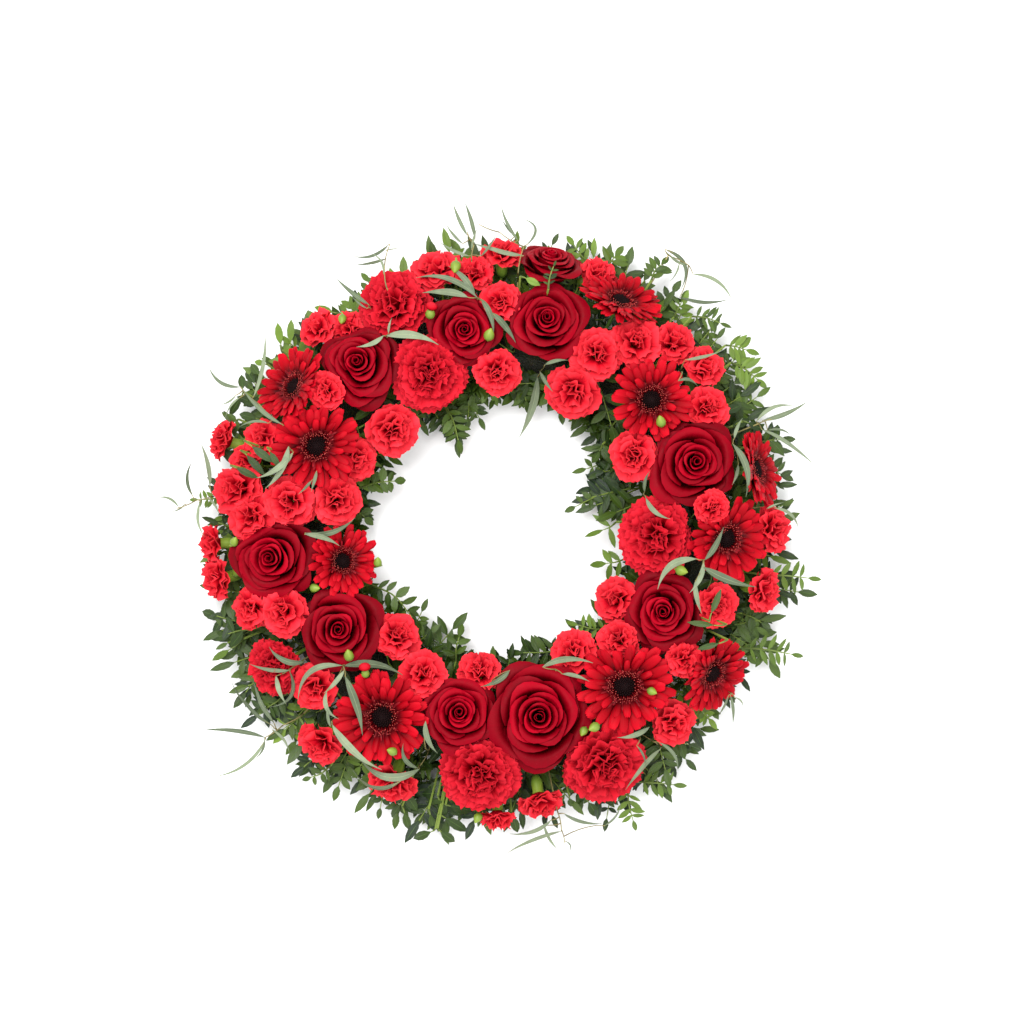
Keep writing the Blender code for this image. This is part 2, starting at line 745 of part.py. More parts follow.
def main():
    clear_scene()
    group = new_collection("mourning_wreath")
    cutters = new_collection("cutters")
    rose_red = make_material("rose_petal", (0.36, 0.0, 0.012), 0.62)
    gerbera_red = make_material("gerbera_petal", (0.52, 0.004, 0.015), 0.55)
    carnation_red = make_material("carnation_petal", (0.83, 0.018, 0.022), 0.6)
    pistacia_green = make_material("pistacia_leaf", (0.025, 0.09, 0.022), 0.42)
    eucalyptus_green = make_material("eucalyptus_leaf", (0.19, 0.28, 0.18), 0.55)
    ring_brown = make_material("ring_padding", (0.16, 0.13, 0.06), 0.9)

    singles = []
    for kind, plan in (("rose", ROSES), ("gerbera", GERBERAS), ("carnation", CARNATIONS)):
        singles += [(kind, k + 1, Bloom(k, kind, *row)) for k, row in enumerate(plan)]
    sprays = [[Bloom(k, "small", *row) for k, row in enumerate(plan)] for plan in SPRAYS]
    blooms = [bloom for _, _, bloom in singles] + [bloom for spray in sprays for bloom in spray]
    posts = [high_post(*row[:3]) for row in EUCALYPTUS_HIGH]
    for bloom in blooms:
        for other in blooms:
            if other is not bloom:
                bloom.press(other)
        for end, mouth, top in posts:
            bloom.press_post(mouth, top, EUCALYPTUS_STEM)

    sockets = bmesh.new()
    heads = []
    for kind, number, bloom in singles:
        if kind == "rose":
            data, material = rose_mesh(bloom), rose_red
        elif kind == "gerbera":
            data, material = gerbera_mesh(bloom), gerbera_red
        else:
            data, material = carnation_mesh(bloom, CARNATION_FRILLS, stem_of(bloom)), carnation_red
        bloom.cut(sockets)
        heads.append(add_object(f"{kind}_{number:02d}", data, group, material))
    for number, spray in enumerate(sprays, 1):
        spray[0].cut(sockets)
        heads.append(add_object(
            f"spray_carnation_{number:02d}", spray_mesh(spray), group, carnation_red,
        ))

    room = Under(heads)
    for number, (clock, outwards, leaves) in enumerate(PISTACIA, 1):
        data = pistacia_mesh(clock, outwards, leaves, sockets)
        add_object(f"pistacia_{number:02d}", data, group, pistacia_green)
    number = 0
    for clock, leaves in EUCALYPTUS_LOW:
        number += 1
        data = eucalyptus_low_mesh(clock, leaves, sockets)
        add_object(f"eucalyptus_{number:02d}", data, group, eucalyptus_green)
    for post, row in zip(posts, EUCALYPTUS_HIGH):
        number += 1
        clock, angle = section_place(post[2])
        cut_socket(sockets, clock, angle, EUCALYPTUS_STEM)
        data = eucalyptus_high_mesh(post, row[3], room)
        add_object(f"eucalyptus_{number:02d}", data, group, eucalyptus_green)

    make_ring(group, cutters, ring_brown, sockets)


main()
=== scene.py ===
"""The looks of the mourning wreath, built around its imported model.

Metres, +Z up.  The wreath lies flat on its back, its origin is the middle of its underside, +Y is its
top as the camera sees it and +X its right-hand side.
"""
import math

import bpy
import numpy as np
from bpy.props import FloatProperty, FloatVectorProperty, IntProperty, PointerProperty
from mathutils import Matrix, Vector


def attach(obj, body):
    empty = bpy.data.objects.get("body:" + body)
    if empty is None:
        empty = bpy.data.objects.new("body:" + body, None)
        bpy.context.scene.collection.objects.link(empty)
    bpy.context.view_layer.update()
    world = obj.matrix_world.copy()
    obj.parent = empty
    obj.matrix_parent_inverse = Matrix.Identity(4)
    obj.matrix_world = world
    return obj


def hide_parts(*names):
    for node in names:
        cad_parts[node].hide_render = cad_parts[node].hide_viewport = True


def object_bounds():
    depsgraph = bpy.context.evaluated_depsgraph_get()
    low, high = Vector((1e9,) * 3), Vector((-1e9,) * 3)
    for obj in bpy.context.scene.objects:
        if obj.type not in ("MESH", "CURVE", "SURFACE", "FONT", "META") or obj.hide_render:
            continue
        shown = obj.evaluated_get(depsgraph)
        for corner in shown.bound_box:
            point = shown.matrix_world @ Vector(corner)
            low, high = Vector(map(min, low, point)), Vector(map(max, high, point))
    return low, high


bl_info = {
    "name": "Mourning wreath",
    "version": (1, 0, 0),
    "blender": (4, 5, 0),
    "location": "View3D > Sidebar > Wreath",
    "description": "Builds the flowers and leaves of a round mourning wreath on its ring",
    "category": "Object",
}

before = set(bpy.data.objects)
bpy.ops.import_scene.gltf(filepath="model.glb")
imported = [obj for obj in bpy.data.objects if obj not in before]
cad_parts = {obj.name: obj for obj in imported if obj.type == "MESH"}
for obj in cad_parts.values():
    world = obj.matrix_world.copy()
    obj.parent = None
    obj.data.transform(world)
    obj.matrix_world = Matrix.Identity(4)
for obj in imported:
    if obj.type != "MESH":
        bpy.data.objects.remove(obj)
CAD_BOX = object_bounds()

MM = 0.001
BODY = "root"
UP = np.array((0.0, 0.0, 1.0))
# The angle from one petal or floret of a spiral to the next.
GOLDEN = math.radians(137.508)

# The ring and the way the blooms sit on it, as in the model's source.
RING_RADIUS = 0.172
RING_WIDTH = 0.064
RING_HEIGHT = 0.045
CORE_HEIGHT = 0.018
SOCKET_DEPTH = 0.016
STEM_CLEARANCE = 0.0003
STAND_OFF = 0.036
SIDE_REACH = 0.070
SIDE_LEAN = 46
SIDE_DROP = 0.028
SKIRT_CEILING = 0.026
FORK_HEIGHT = 0.004
FORK_STEP = 0.0022
RUNNER_HEIGHT = 0.007

# For each kind of bloom: the depth of its foot in radii, the width of its stem and its lift in mm, and
# how far its petals spread past the plain solid. Below it, the width of a spray's side stems in mm.
KINDS = {
    "rose": {"depth": 0.72, "stem": 5.6, "lift": 0, "spread": 1.10},
    "gerbera": {"depth": 0.40, "stem": 4.8, "lift": 10, "spread": 1.05},
    "carnation": {"depth": 1.05, "stem": 4.2, "lift": -1, "spread": 1.07},
    "small": {"depth": 1.25, "stem": 3.2, "lift": 2, "spread": 1.08},
}
SIDE_STEM = 2.4

# How the scene departs from the plain solids: its stems are thinner by this factor, petals may cross
# the plane between two neighbours by this much, and the last value says how sharply they bend there.
STEM_FILL = 0.7
PETAL_OVERLAP = 3.4 * MM
SQUEEZE = 12

# A stem's straight end rises this far over the ring, and a bloom's stem runs straight into the bloom
# over this length at most.
MOUTH_RISE = 2 * MM
STEM_NECK = 7 * MM
# Leaves that lie on the blooms stay below the top of the solids, twigs end a little over it, and
# neither falls more steeply than the last value, as a share of its run.
LEAF_CEILING = CAD_BOX[1].z
TWIG_CEILING = LEAF_CEILING + 2.2 * MM
STEEPEST = 0.55
# A leaf of the skirts reaches this far past the ring's edge at least.
LEAST_SKIRT = 24 * MM
# A eucalyptus leaf is slimmer where its tip is further than this from the wreath's centre.
FREE_AIR = 235 * MM

# Where the random draws of each kind of piece start. The piece's number is added to it where it has
# one, and a skirt adds its +1 or -1.
SEEDS = {
    "rose": 100, "gerbera": 200, "carnation": 300, "spray": 400, "shoot": 500, "skirt": 600,
    "between": 700, "sprig": 720, "eucalyptus": 800, "bud": 900,
}

# Each bloom: clock angle from +X in degrees, distance outside the ring's centre line in mm,
# diameter in mm, any further outward lean in degrees, and any further height in mm.
ROSES = (
    (129, 16, 69, 0), (99, 6, 58, -6), (77, 16, 64, 0), (79, 66, 54, 14), (20, 8, 72, 0),
    (335, -13, 64, 0), (283, -11, 86, 4), (258, -14, 64, 0), (211, -13, 69, 6), (186, 21, 69, 0),
)
GERBERAS = (
    (144, 47, 68, 14), (154, 0, 74, 0), (62, 60, 72, 16), (41, 4, 67, 0), (14, 63, 66, 22),
    (359, 27, 71, 4), (327, 52, 65, 6), (310, -2, 77, 0), (238, 14, 76, -4), (190, -39, 58, 0),
)
CARNATIONS = (
    (114, 46, 64, 0), (113, -22, 64, 0), (359, -35, 67, 0), (266, 36, 67, 0), (295, 49, 69, 0),
    (211, 53, 50, 0),
)
SPRAYS = (
    ((103, 63, 43, 0), (95, 55, 34, 0), (89, 72, 36, 8), (89, 28, 36, 0)),
    ((90, -33, 40, 0),),
    ((62, -33, 48, 0), (61, 5, 45, 0)),
    ((47, 54, 38, 0), (54, 33, 46, 0), (39, 59, 38, 0), (31, 40, 38, 0)),
    ((30, -36, 45, 0),),
    ((1, 68, 41, 8), (348, 65, 38, 10)),
    ((7, 13, 31, 0, 12),),
    ((326, 22, 31, 0, 4), (342, 27, 38, 0), (313, 52, 40, 0)),
    ((319, -33, 37, 0), (331, -55, 40, 0), (303, -51, 41, 0)),
    ((242, -36, 41, 0), (226, -49, 41, 0), (263, -53, 38, 0)),
    ((279, 65, 40, 24), (270, 76, 30, 24)),
    ((247, 63, 43, 8),),
    ((220, 33, 41, 0), (230, 67, 40, 0)),
    ((197, 51, 36, 0), (200, 23, 43, 0), (189, 75, 38, 10), (182, 77, 33, 24)),
    ((158, 47, 36, 0), (161, 81, 34, 24), (164, 55, 34, 0, -6)),
    ((170, 56, 50, 0), (176, 40, 45, 0)),
    ((171, 8, 46, 0), (168, -32, 43, 0), (152, -34, 38, 0, -6), (135, -45, 46, 0)),
    ((131, 65, 35, 0), (126, 48, 33, 0, -6), (140, 20, 33, 0, 6)),
    ((69, 71, 33, 0, -4),),
)

# Pistacia: clock angle of a shoot, +1 for outwards or -1 into the hole, then its leaves as
# (clock angle, distance of the tip from the wreath's centre in mm).
PISTACIA = (
    (147, 1, ((133, 264), (147, 264), (161, 260))),
    (200, 1, ((188, 264), (200, 268), (213, 272))),
    (246, 1, ((231, 272), (245, 268), (259, 280))),
    (303, 1, ((291, 280), (303, 282), (316, 266))),
    (348, 1, ((335, 284), (349, 286), (4, 266))),
    (54, 1, ((36, 270), (54, 276), (71, 274))),
    (106, -1, ((114, 76), (99, 92))),
    (26, -1, ((36, 84), (19, 62))),
    (236, -1, ((245, 72), (226, 84))),
)
# How far the leaves reach from the wreath's centre, in mm, at clock angles all round.
OUTER_REACH = (
    (0, 262), (8, 263), (22, 265), (29, 270), (46, 269), (59, 272), (65, 279), (73, 272),
    (84, 262), (98, 268), (113, 255), (121, 243), (129, 252), (136, 264), (149, 264), (160, 255),
    (170, 258), (181, 258), (192, 266), (209, 278), (225, 277), (234, 280), (245, 268), (255, 279),
    (262, 273), (270, 258), (281, 262), (295, 270), (308, 272), (321, 263), (330, 262), (337, 264),
    (350, 264), (359, 262),
)
INNER_REACH = (
    (0, 104), (18, 66), (26, 70), (32, 92), (45, 102), (62, 108), (75, 112), (97, 104), (113, 80),
    (122, 100), (135, 112), (148, 95), (168, 104), (186, 116), (210, 104), (225, 94), (236, 94),
    (245, 94), (262, 98), (283, 92), (300, 98), (318, 92), (335, 104), (350, 104),
)
# The two skirts of leaves: name, +1 for outwards or -1 into the hole, reach, degrees from leaf to
# leaf, and its rows as (how much shorter than the reach, how high), in mm.
SKIRTS = (
    ("outer", 1, OUTER_REACH, 3.6, ((-2, 26), (5, 16), (15, 7), (42, 31))),
    ("inner", -1, INNER_REACH, 6.8, ((0, 21), (8, 13), (17, 5), (38, 29))),
)
# Small leaves that rise between the blooms: how many, and where round the ring's section, in degrees.
LEAVES_BETWEEN = 60
SECTION_ANGLES = (40, 90, 140, 65, 115)

# Single pistacia sprigs: foot and tip (x, y) in mm, bow, pairs of leaflets, length and width of a
# leaflet in mm, and how light its green is. The high ones lie on the blooms, and the others come out
# from between them, lower down.
HIGH_SPRIGS = (
    (-216, 80, -192, 62, 0, 0, 27, 8, .12), (-221, 72, -199, 55, .05, 0, 26, 7.5, .10),
    (-229, 59, -207, 49, 0, 0, 23, 7, .12), (-196, 74, -186, 58, 0, 0, 18, 6, .15),
    (44, 210, 50, 236, .05, 4, 8, 2.6, .15), (20, 221, 37, 216, .05, 0, 16, 7, .85),
    (196, -77, 166, -79, .05, 0, 24, 6, .20), (197, -90, 172, -101, .04, 0, 24, 6, .15),
    (181, -74, 187, -50, .04, 0, 22, 6.5, .18),
)
SPRIGS = (
    (-188, 161, -195, 184, .04, 0, 24, 8, .72), (-180, 160, -181, 189, 0, 0, 28, 7.5, .62),
    (-138, 192, -163, 198, .03, 0, 25, 8, .75), (-130, 190, -138, 202, 0, 0, 15, 5, .50),
    (-120, 187, -131, 209, .03, 0, 24, 8, .55), (-109, 217, -120, 229, 0, 0, 16, 6, .40),
    (-110, 211, -120, 220, 0, 0, 13, 6, .30), (-201, 148, -214, 151, 0, 0, 13, 6.5, .75),
    (-222, 124, -226, 139, .05, 0, 16, 8, .15), (-210, 129, -223, 144, .04, 0, 20, 9, .12),
    (-205, 135, -216, 149, 0, 0, 16, 8, .20), (-222, 124, -233, 103, .05, 0, 24, 8, .12),
    (-54, -258, -75, -271, .05, 0, 25, 9, .15), (-52, -257, -37, -272, -.04, 0, 21, 9, .15),
    (-51, -245, -26, -260, .03, 0, 28, 10, .12), (-60, -241, -54, -262, .03, 0, 21, 7, .22),
    (-52, -229, -45, -248, 0, 0, 20, 9, .15), (-45, -237, -22, -242, .03, 0, 24, 11, .12),
    (-83, -238, -75, -262, .04, 0, 24, 8, .20), (12, -243, 19, -261, .04, 0, 19, 9, .15),
    (78, -232, 88, -248, 0, 0, 19, 10, .12), (63, -229, 65, -241, 0, 0, 12, 6, .20),
    (232, -36, 286, -40, .02, 4, 17, 5.2, .50), (214, -100, 272, -108, .03, 5, 17, 5, .45),
    (114, -222, 121, -263, -.05, 4, 15, 5, .55), (122, -218, 168, -222, .03, 4, 17, 5.5, .45),
    (150, -180, 182, -190, .05, 3, 19, 9.5, .12), (163, -141, 194, -172, .04, 4, 11, 4.5, .45),
    (-205, 112, -229, 119, .03, 0, 23, 9, .12), (-208, 100, -227, 105, 0, 0, 20, 9, .18),
    (-206, 121, -222, 110, 0, 0, 20, 9, .10), (196, 104, 214, 114, .03, 0, 20, 9, .08),
    (200, 92, 222, 100, 0, 0, 22, 9, .10), (214, 98, 236, 92, .04, 0, 22, 9, .08),
    (-215, -84, -253, -91, -.05, 2, 22, 9, .14), (-222, -92, -251, -114, .04, 0, 25, 7, .50),
    (-213, -77, -264, -70, .05, 3, 22, 9, .12), (-112, -44, -64, -82, .12, 5, 17, 7, .20),
    (-146, -203, -172, -219, .08, 3, 13, 5, .30), (-114, -195, -128, -216, 0, 3, 18, 6.5, .55),
    (-240, 32, -270, 29, .03, 4, 10, 4, .60), (-120, 40, -80, 48, .05, 4, 13, 8, .30),
    (-124, 20, -108, 8, .05, 1, 14, 7.5, .30),
    (-42, -215, -54, -262, -.05, 4, 21, 9.5, .15), (-75, -214, -92, -252, .05, 3, 19, 8, .15),
    (58, -102, 6, -106, .02, 4, 21, 6.5, .15), (98, -84, 60, -79, .05, 4, 14, 5, .70),
    (-36, -112, -32, -78, .06, 2, 16, 7, .30), (-178, 150, -188, 170, 0, 1, 26, 8, .70),
    (-112, 190, -140, 204, .05, 3, 20, 7, .65), (-100, 205, -114, 226, 0, 3, 14, 6, .45),
    (-203, 118, -225, 135, .05, 3, 17, 8, .30), (80, 236, 60, 262, .03, 3, 15, 6, .60),
    (98, 236, 112, 254, 0, 2, 18, 7, .40), (135, 222, 150, 246, .10, 4, 15, 6, .25),
    (155, 190, 168, 216, 0, 2, 18, 6, .40), (170, 190, 206, 182, .05, 5, 14, 4, .30),
    (205, 150, 240, 128, .05, 5, 18, 6, .70), (200, 165, 232, 158, .03, 4, 18, 6, .65),
    (-45, 112, -30, 70, .05, 4, 16, 6.5, .30), (112, -22, 80, -30, .05, 2, 20, 7, .55),
    (104, 10, 78, -6, .08, 1, 22, 5, .60), (-200, -115, -226, -132, .05, 4, 16, 6, .25),
    (-185, -140, -212, -160, .04, 4, 17, 6, .20), (215, -70, 244, -84, .04, 4, 17, 6, .20),
    (-226, 100, -246, 92, .04, 3, 15, 6, .25), (225, 60, 262, 48, .05, 4, 18, 7, .20),
    (230, 80, 262, 84, .03, 4, 18, 7, .15), (0, -225, 6, -250, 0, 2, 17, 6, .25),
    (84, -222, 92, -240, 0, 2, 20, 9, .20), (-150, 180, -168, 196, 0, 3, 15, 6, .50),
    (20, 130, 30, 104, .05, 3, 17, 6.5, .25), (-10, 132, 2, 112, .05, 3, 17, 6.5, .45),
    (62, 128, 66, 104, .05, 3, 17, 7, .30), (92, 78, 84, 60, .05, 3, 17, 7, .20),
    (120, -50, 96, -60, .04, 3, 16, 5.5, .35),
)

# Eucalyptus twigs as they show from above, in mm: the foot of the twig, the points it runs on to, and
# its leaves as (foot x, y, tip x, y, bow).
EUCALYPTUS = (
    ((-17, 203), (), (
        (-17, 203, -70, 221, -.14), (-25, 203, -64, 207, -.08), (-19, 206, -42, 231, -.08),
        (-14, 202, -3, 171, .10), (-5, 190, 16, 164, .06))),
    ((18, 220), ((23, 248), (2, 262), (-16, 270)), (
        (18, 254, 3, 288, .06), (26, 250, 19, 275, -.42), (23, 240, -21, 252, .03),
        (16, 258, 4, 274, .05))),
    ((-22, 236), ((-20, 250), (-26, 262)), (
        (-26, 259, -39, 290, .03), (-19, 256, -29, 291, -.03), (-30, 252, -45, 271, .05),
        (-22, 246, -17, 266, .04), (-14, 240, -1, 258, -.05), (-24, 240, -50, 254, .06))),
    ((38, 142), (), ((35, 137, 19, 84, .06), (41, 145, 61, 149, .08), (37, 140, 48, 122, -.05))),
    ((-95, 212), ((-97, 232), (-93, 251)), (
        (-94, 251, -127, 243, .16), (-96, 238, -124, 234, .04), (-98, 224, -109, 243, -.18),
        (-96, 246, -85, 248, 0))),
    ((-110, 196), (), ((-110, 197, -140, 222, .03), (-112, 194, -126, 206, .05))),
    ((-95, 170), (), (
        (-95, 170, -50, 162, .10), (-93, 172, -90, 185, .05), (-97, 170, -120, 160, .10))),
    ((-184, 94), ((-205, 112), (-222, 127)), (
        (-184, 94, -221, 127, .06), (-222, 127, -252, 147, .18), (-210, 118, -203, 177, -.06),
        (-196, 95, -223, 92, -.12), (-226, 120, -241, 112, .1), (-222, 118, -236, 101, -.1))),
    ((-176, 72), (), ((-178, 75, -199, 39, .12), (-174, 70, -206, 48, .10))),
    ((-156, 48), (), ((-154, 54, -159, 36, .03), (-158, 46, -170, 34, .04))),
    ((-246, 33), ((-262, 29), (-280, 22)), (
        (-249, 41, -260, 80, -.06), (-265, 33, -267, 64, .16), (-278, 23, -300, 31, -.18),
        (-272, 26, -286, 19, .1), (-258, 28, -254, -2, -.14), (-252, 32, -240, 16, .08))),
    ((-178, -116), (), (
        (-178, -117, -214, -112, .06), (-165, -110, -196, -97, .16), (-178, -118, -197, -150, .30),
        (-190, -122, -182, -147, -.06))),
    ((-131, -112), (), (
        (-132, -112, -171, -143, -.25), (-131, -113, -81, -121, .09), (-129, -121, -115, -172, .04),
        (-145, -134, -135, -158, -.20), (-130, -116, -148, -136, .05))),
    ((-170, -158), ((-188, -168), (-204, -179)), (
        (-204, -179, -261, -173, -.05), (-203, -180, -251, -214, .14), (-204, -180, -214, -199, .12),
        (-198, -168, -233, -130, .08), (-196, -166, -214, -128, .05), (-197, -172, -182, -192, .1))),
    ((-142, -160), (), ((-141, -163, -99, -202, -.08), (-142, -164, -144, -146, .06))),
    ((-60, -190), ((-68, -203),), (
        (-67, -203, -119, -195, .20), (-82, -212, -125, -205, .25), (-68, -201, -80, -179, .22),
        (-61, -160, -51, -189, -.12))),
    ((52, -240), ((56, -258), (59, -270)), (
        (56, -259, 6, -283, -.04), (47, -249, 11, -263, .12), (41, -254, 54, -278, -.08),
        (59, -268, 62, -280, .30), (58, -243, 92, -254, -.08), (94, -256, 108, -236, -.10))),
    ((176, -22), (), (
        (177, -22, 194, 6, -.06), (176, -24, 164, -50, .10), (169, -40, 175, -68, -.05),
        (176, -28, 221, -45, -.06), (170, -21, 137, -47, -.20))),
    ((127, 34), (), ((128, 31, 148, 13, -.15), (127, 36, 131, 54, .10))),
    ((150, 244), ((168, 236),), (
        (168, 236, 147, 250, .12), (147, 250, 161, 214, .30), (172, 228, 207, 204, .16),
        (160, 207, 204, 206, -.08), (160, 238, 152, 222, .1))),
    ((228, 96), ((240, 100),), (
        (232, 99, 274, 117, -.06), (231, 91, 280, 59, .05), (226, 98, 262, 112, .16),
        (236, 90, 258, 86, .14))),
    ((203, 80), (), ((202, 77, 213, 32, .12), (208, 60, 202, 42, .05), (204, 82, 212, 100, .06))),
    ((238, 24), (), ((232, 22, 247, 27, .05), (240, 22, 262, 4, .18))),
    ((203, -138), (), (
        (202, -140, 205, -167, .06), (200, -140, 192, -158, .05), (206, -142, 214, -152, .2))),
    ((-4, -126), (), ((11, -117, -14, -131, .10),)),
    ((50, -116), (), ((39, -114, 82, -110, .12), (56, -120, 79, -126, .06))),
    ((118, -172), ((134, -180),), (
        (131, -166, 103, -174, .08), (142, -186, 111, -221, -.05), (140, -180, 157, -206, .16),
        (120, -182, 128, -200, .1))),
    ((-164, 0), (), ((-164, 1, -122, 14, -.14), (-164, 0, -135, -10, .08))),
    ((159, 141), (), ((155, 131, 172, 127, .20), (162, 150, 193, 158, -.05))),
)
# The twigs (counted from 1) that stand in the place of the solids' own twigs.
TWIG_NODES = {
    11: "eucalyptus_01", 3: "eucalyptus_02", 17: "eucalyptus_03", 18: "eucalyptus_04",
    13: "eucalyptus_05",
}

# Unopened carnation buds, as (x, y) in mm, and the ones whose red tips show.
BUDS = (
    (-35, 235), (-8, 166), (71, 218), (141, 92), (153, -30), (129, -133), (76, -166), (87, -163),
    (-15, -243), (-126, -108), (-86, -187), (-160, -46), (-103, -28), (-133, 189), (-228, -10),
    (-228, -37),
)
RED_BUDS = ((-58, 185), (-112, -122))


# Numbers and points


def srgb(*levels):
    """A linear colour out of the 0 to 255 levels of a screen."""
    shares = [level / 255 for level in levels]
    return tuple(s / 12.92 if s < 0.04045 else ((s + 0.055) / 1.055) ** 2.4 for s in shares)


def draws(kind, number=0):
    """The random draws of one piece, the same ones each time."""
    return np.random.default_rng(SEEDS[kind] + number)


def unit(v):
    """The same directions with length 1."""
    return v / np.maximum(np.linalg.norm(v, axis=-1, keepdims=True), 1e-12)


def spoke(clock):
    """The unit vector from the wreath's middle towards a clock angle in degrees."""
    return np.array((math.cos(math.radians(clock)), math.sin(math.radians(clock)), 0.0))


def basis(axis):
    """Two directions square to an axis, the same ones for the same axis."""
    side = unit(np.cross(UP if abs(axis[2]) < 0.95 else np.array((0.0, 1.0, 0.0)), axis))
    return side, np.cross(axis, side)


def smooth_path(points, count):
    """A curve of evenly counted points through a few given ones."""
    points = np.asarray(points, float)
    ends = np.vstack((2 * points[0] - points[1], points, 2 * points[-1] - points[-2]))
    place = np.linspace(0, len(points) - 1, count)
    k = np.minimum(place.astype(int), len(points) - 2)
    t = (place - k)[:, None]
    p0, p1, p2, p3 = (ends[k + step] for step in range(4))
    return 0.5 * (
        2 * p1 + (p2 - p0) * t + (2 * p0 - 5 * p1 + 4 * p2 - p3) * t ** 2
        + (3 * p1 - p0 - 3 * p2 + p3) * t ** 3
    )


def bezier(share, *corners):
    """A point of a curve with four corners; all of them may be grids of numbers."""
    a, b, c, d = corners
    rest = 1 - share
    return rest ** 3 * a + 3 * rest ** 2 * share * b + 3 * rest * share ** 2 * c + share ** 3 * d


# Mesh parts


SHARP_EDGE = math.radians(72)


class Parts:
    """Collects the thin sheets and tubes of one piece."""

    def __init__(self):
        self.points, self.marks, self.quads, self.tris = [], [], [], []
        self.quad_skins, self.tri_skins = [], []
        self.count = 0

    def add(self, points, marks, quads, tris, skin):
        """Takes in points with their marks, and the faces between them, all in one material."""
        self.points.append(np.reshape(points, (-1, 3)))
        self.marks.append(np.reshape(marks, (-1, 3)))
        if len(quads):
            self.quads.append(np.reshape(quads, (-1, 4)) + self.count)
            self.quad_skins.append(np.full(len(self.quads[-1]), skin))
        if len(tris):
            self.tris.append(np.reshape(tris, (-1, 3)) + self.count)
            self.tri_skins.append(np.full(len(self.tris[-1]), skin))
        self.count += len(self.points[-1])

    def sheets(self, grids, marks, thickness, skin=0):
        """Closed thin sheets out of grids of points: sheet, row from foot to rim, place across.

        A sheet thins to two fifths of its thickness at its edges and its tip.
        """
        sheets, rows, across = grids.shape[:3]
        down = np.gradient(grids, axis=1)
        over = np.gradient(grids, axis=2)
        normal = unit(np.cross(over, down))
        edge = np.abs(np.linspace(-1, 1, across))[None, :] ** 6
        tip = np.linspace(0, 1, rows)[:, None] ** 8
        half = thickness / 2 * (1 - 0.6 * np.maximum(edge, tip))[None, :, :, None]
        both = np.stack((grids + normal * half, grids - normal * half), axis=1)
        marks = np.broadcast_to(marks[:, None], both.shape)
        index = np.arange(2 * rows * across).reshape(2, rows, across)
        top, low = index
        quads = [
            np.stack((top[:-1, :-1], top[:-1, 1:], top[1:, 1:], top[1:, :-1]), axis=-1),
            np.stack((low[:-1, :-1], low[1:, :-1], low[1:, 1:], low[:-1, 1:]), axis=-1),
        ]
        for side, turned in (
            (index[:, 0, :], True), (index[:, -1, :], False),
            (index[:, :, 0], False), (index[:, :, -1], True),
        ):
            wall = np.stack((side[0, :-1], side[0, 1:], side[1, 1:], side[1, :-1]), axis=-1)
            quads.append(wall[:, ::-1] if turned else wall)
        one = np.concatenate([q.reshape(-1, 4) for q in quads])
        step = np.arange(sheets)[:, None, None] * index.size
        self.add(both, marks, one[None] + step, (), skin)

    def tube(self, path, radii, sides=6, skin=0, tone=0.5):
        """A closed round tube along a path, with a radius for each point."""
        path = np.asarray(path, float)
        radii = np.broadcast_to(np.asarray(radii, float), len(path))
        along = unit(np.gradient(path, axis=0))
        side = np.zeros_like(path)
        side[0] = basis(along[0])[0]
        for k in range(1, len(path)):
            side[k] = unit(side[k - 1] - along[k] * side[k - 1].dot(along[k]))
        other = np.cross(along, side)
        turn = np.linspace(0, math.tau, sides, endpoint=False)
        rings = path[:, None] + radii[:, None, None] * (
            side[:, None] * np.cos(turn)[None, :, None] + other[:, None] * np.sin(turn)[None, :, None]
        )
        rows = len(path)
        points = np.vstack((rings.reshape(-1, 3), path[:1], path[-1:]))
        marks = np.zeros((len(points), 3))
        marks[:-2, 0] = np.tile(turn / math.tau, rows)
        marks[:-2, 1] = np.repeat(np.linspace(0, 1, rows), sides)
        marks[-1, 1] = 1
        marks[:, 2] = tone
        index = np.arange(rows * sides).reshape(rows, sides)
        after = np.roll(index, -1, axis=1)
        quads = np.stack((index[:-1], after[:-1], after[1:], index[1:]), axis=-1)
        foot, top = rows * sides, rows * sides + 1
        tris = np.vstack((
            np.stack((after[0], index[0], np.full(sides, foot)), axis=-1),
            np.stack((index[-1], after[-1], np.full(sides, top)), axis=-1),
        ))
        self.add(points, marks, quads, tris, skin)

    def piece(self, name, materials, stands_for=()):
        """Makes the object, lets it ride on the wreath, and hides the solids it stands for."""
        points = np.concatenate(self.points)
        quads = np.concatenate(self.quads) if self.quads else np.zeros((0, 4), int)
        tris = np.concatenate(self.tris) if self.tris else np.zeros((0, 3), int)
        corners = np.concatenate((quads.ravel(), tris.ravel()))
        sizes = np.concatenate((np.full(len(quads), 4), np.full(len(tris), 3)))
        skins = np.concatenate(self.quad_skins + self.tri_skins)
        mesh = bpy.data.meshes.new(name)
        mesh.vertices.add(len(points))
        mesh.vertices.foreach_set("co", points.astype(np.float32).ravel())
        mesh.loops.add(len(corners))
        mesh.loops.foreach_set("vertex_index", corners.astype(np.int32))
        mesh.polygons.add(len(sizes))
        mesh.polygons.foreach_set("loop_start", (np.cumsum(sizes) - sizes).astype(np.int32))
        for material in materials:
            mesh.materials.append(material)
        mesh.polygons.foreach_set("material_index", skins.astype(np.int32))
        mesh.update(calc_edges=True)
        marks = mesh.attributes.new("petal", "FLOAT_VECTOR", "POINT")
        marks.data.foreach_set("vector", np.concatenate(self.marks).astype(np.float32).ravel())
        mesh.shade_smooth()
        mesh.set_sharp_from_angle(angle=SHARP_EDGE)
        thing = bpy.data.objects.new(name, mesh)
        bpy.context.scene.collection.objects.link(thing)
        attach(thing, BODY)
        if stands_for:
            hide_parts(*stands_for)


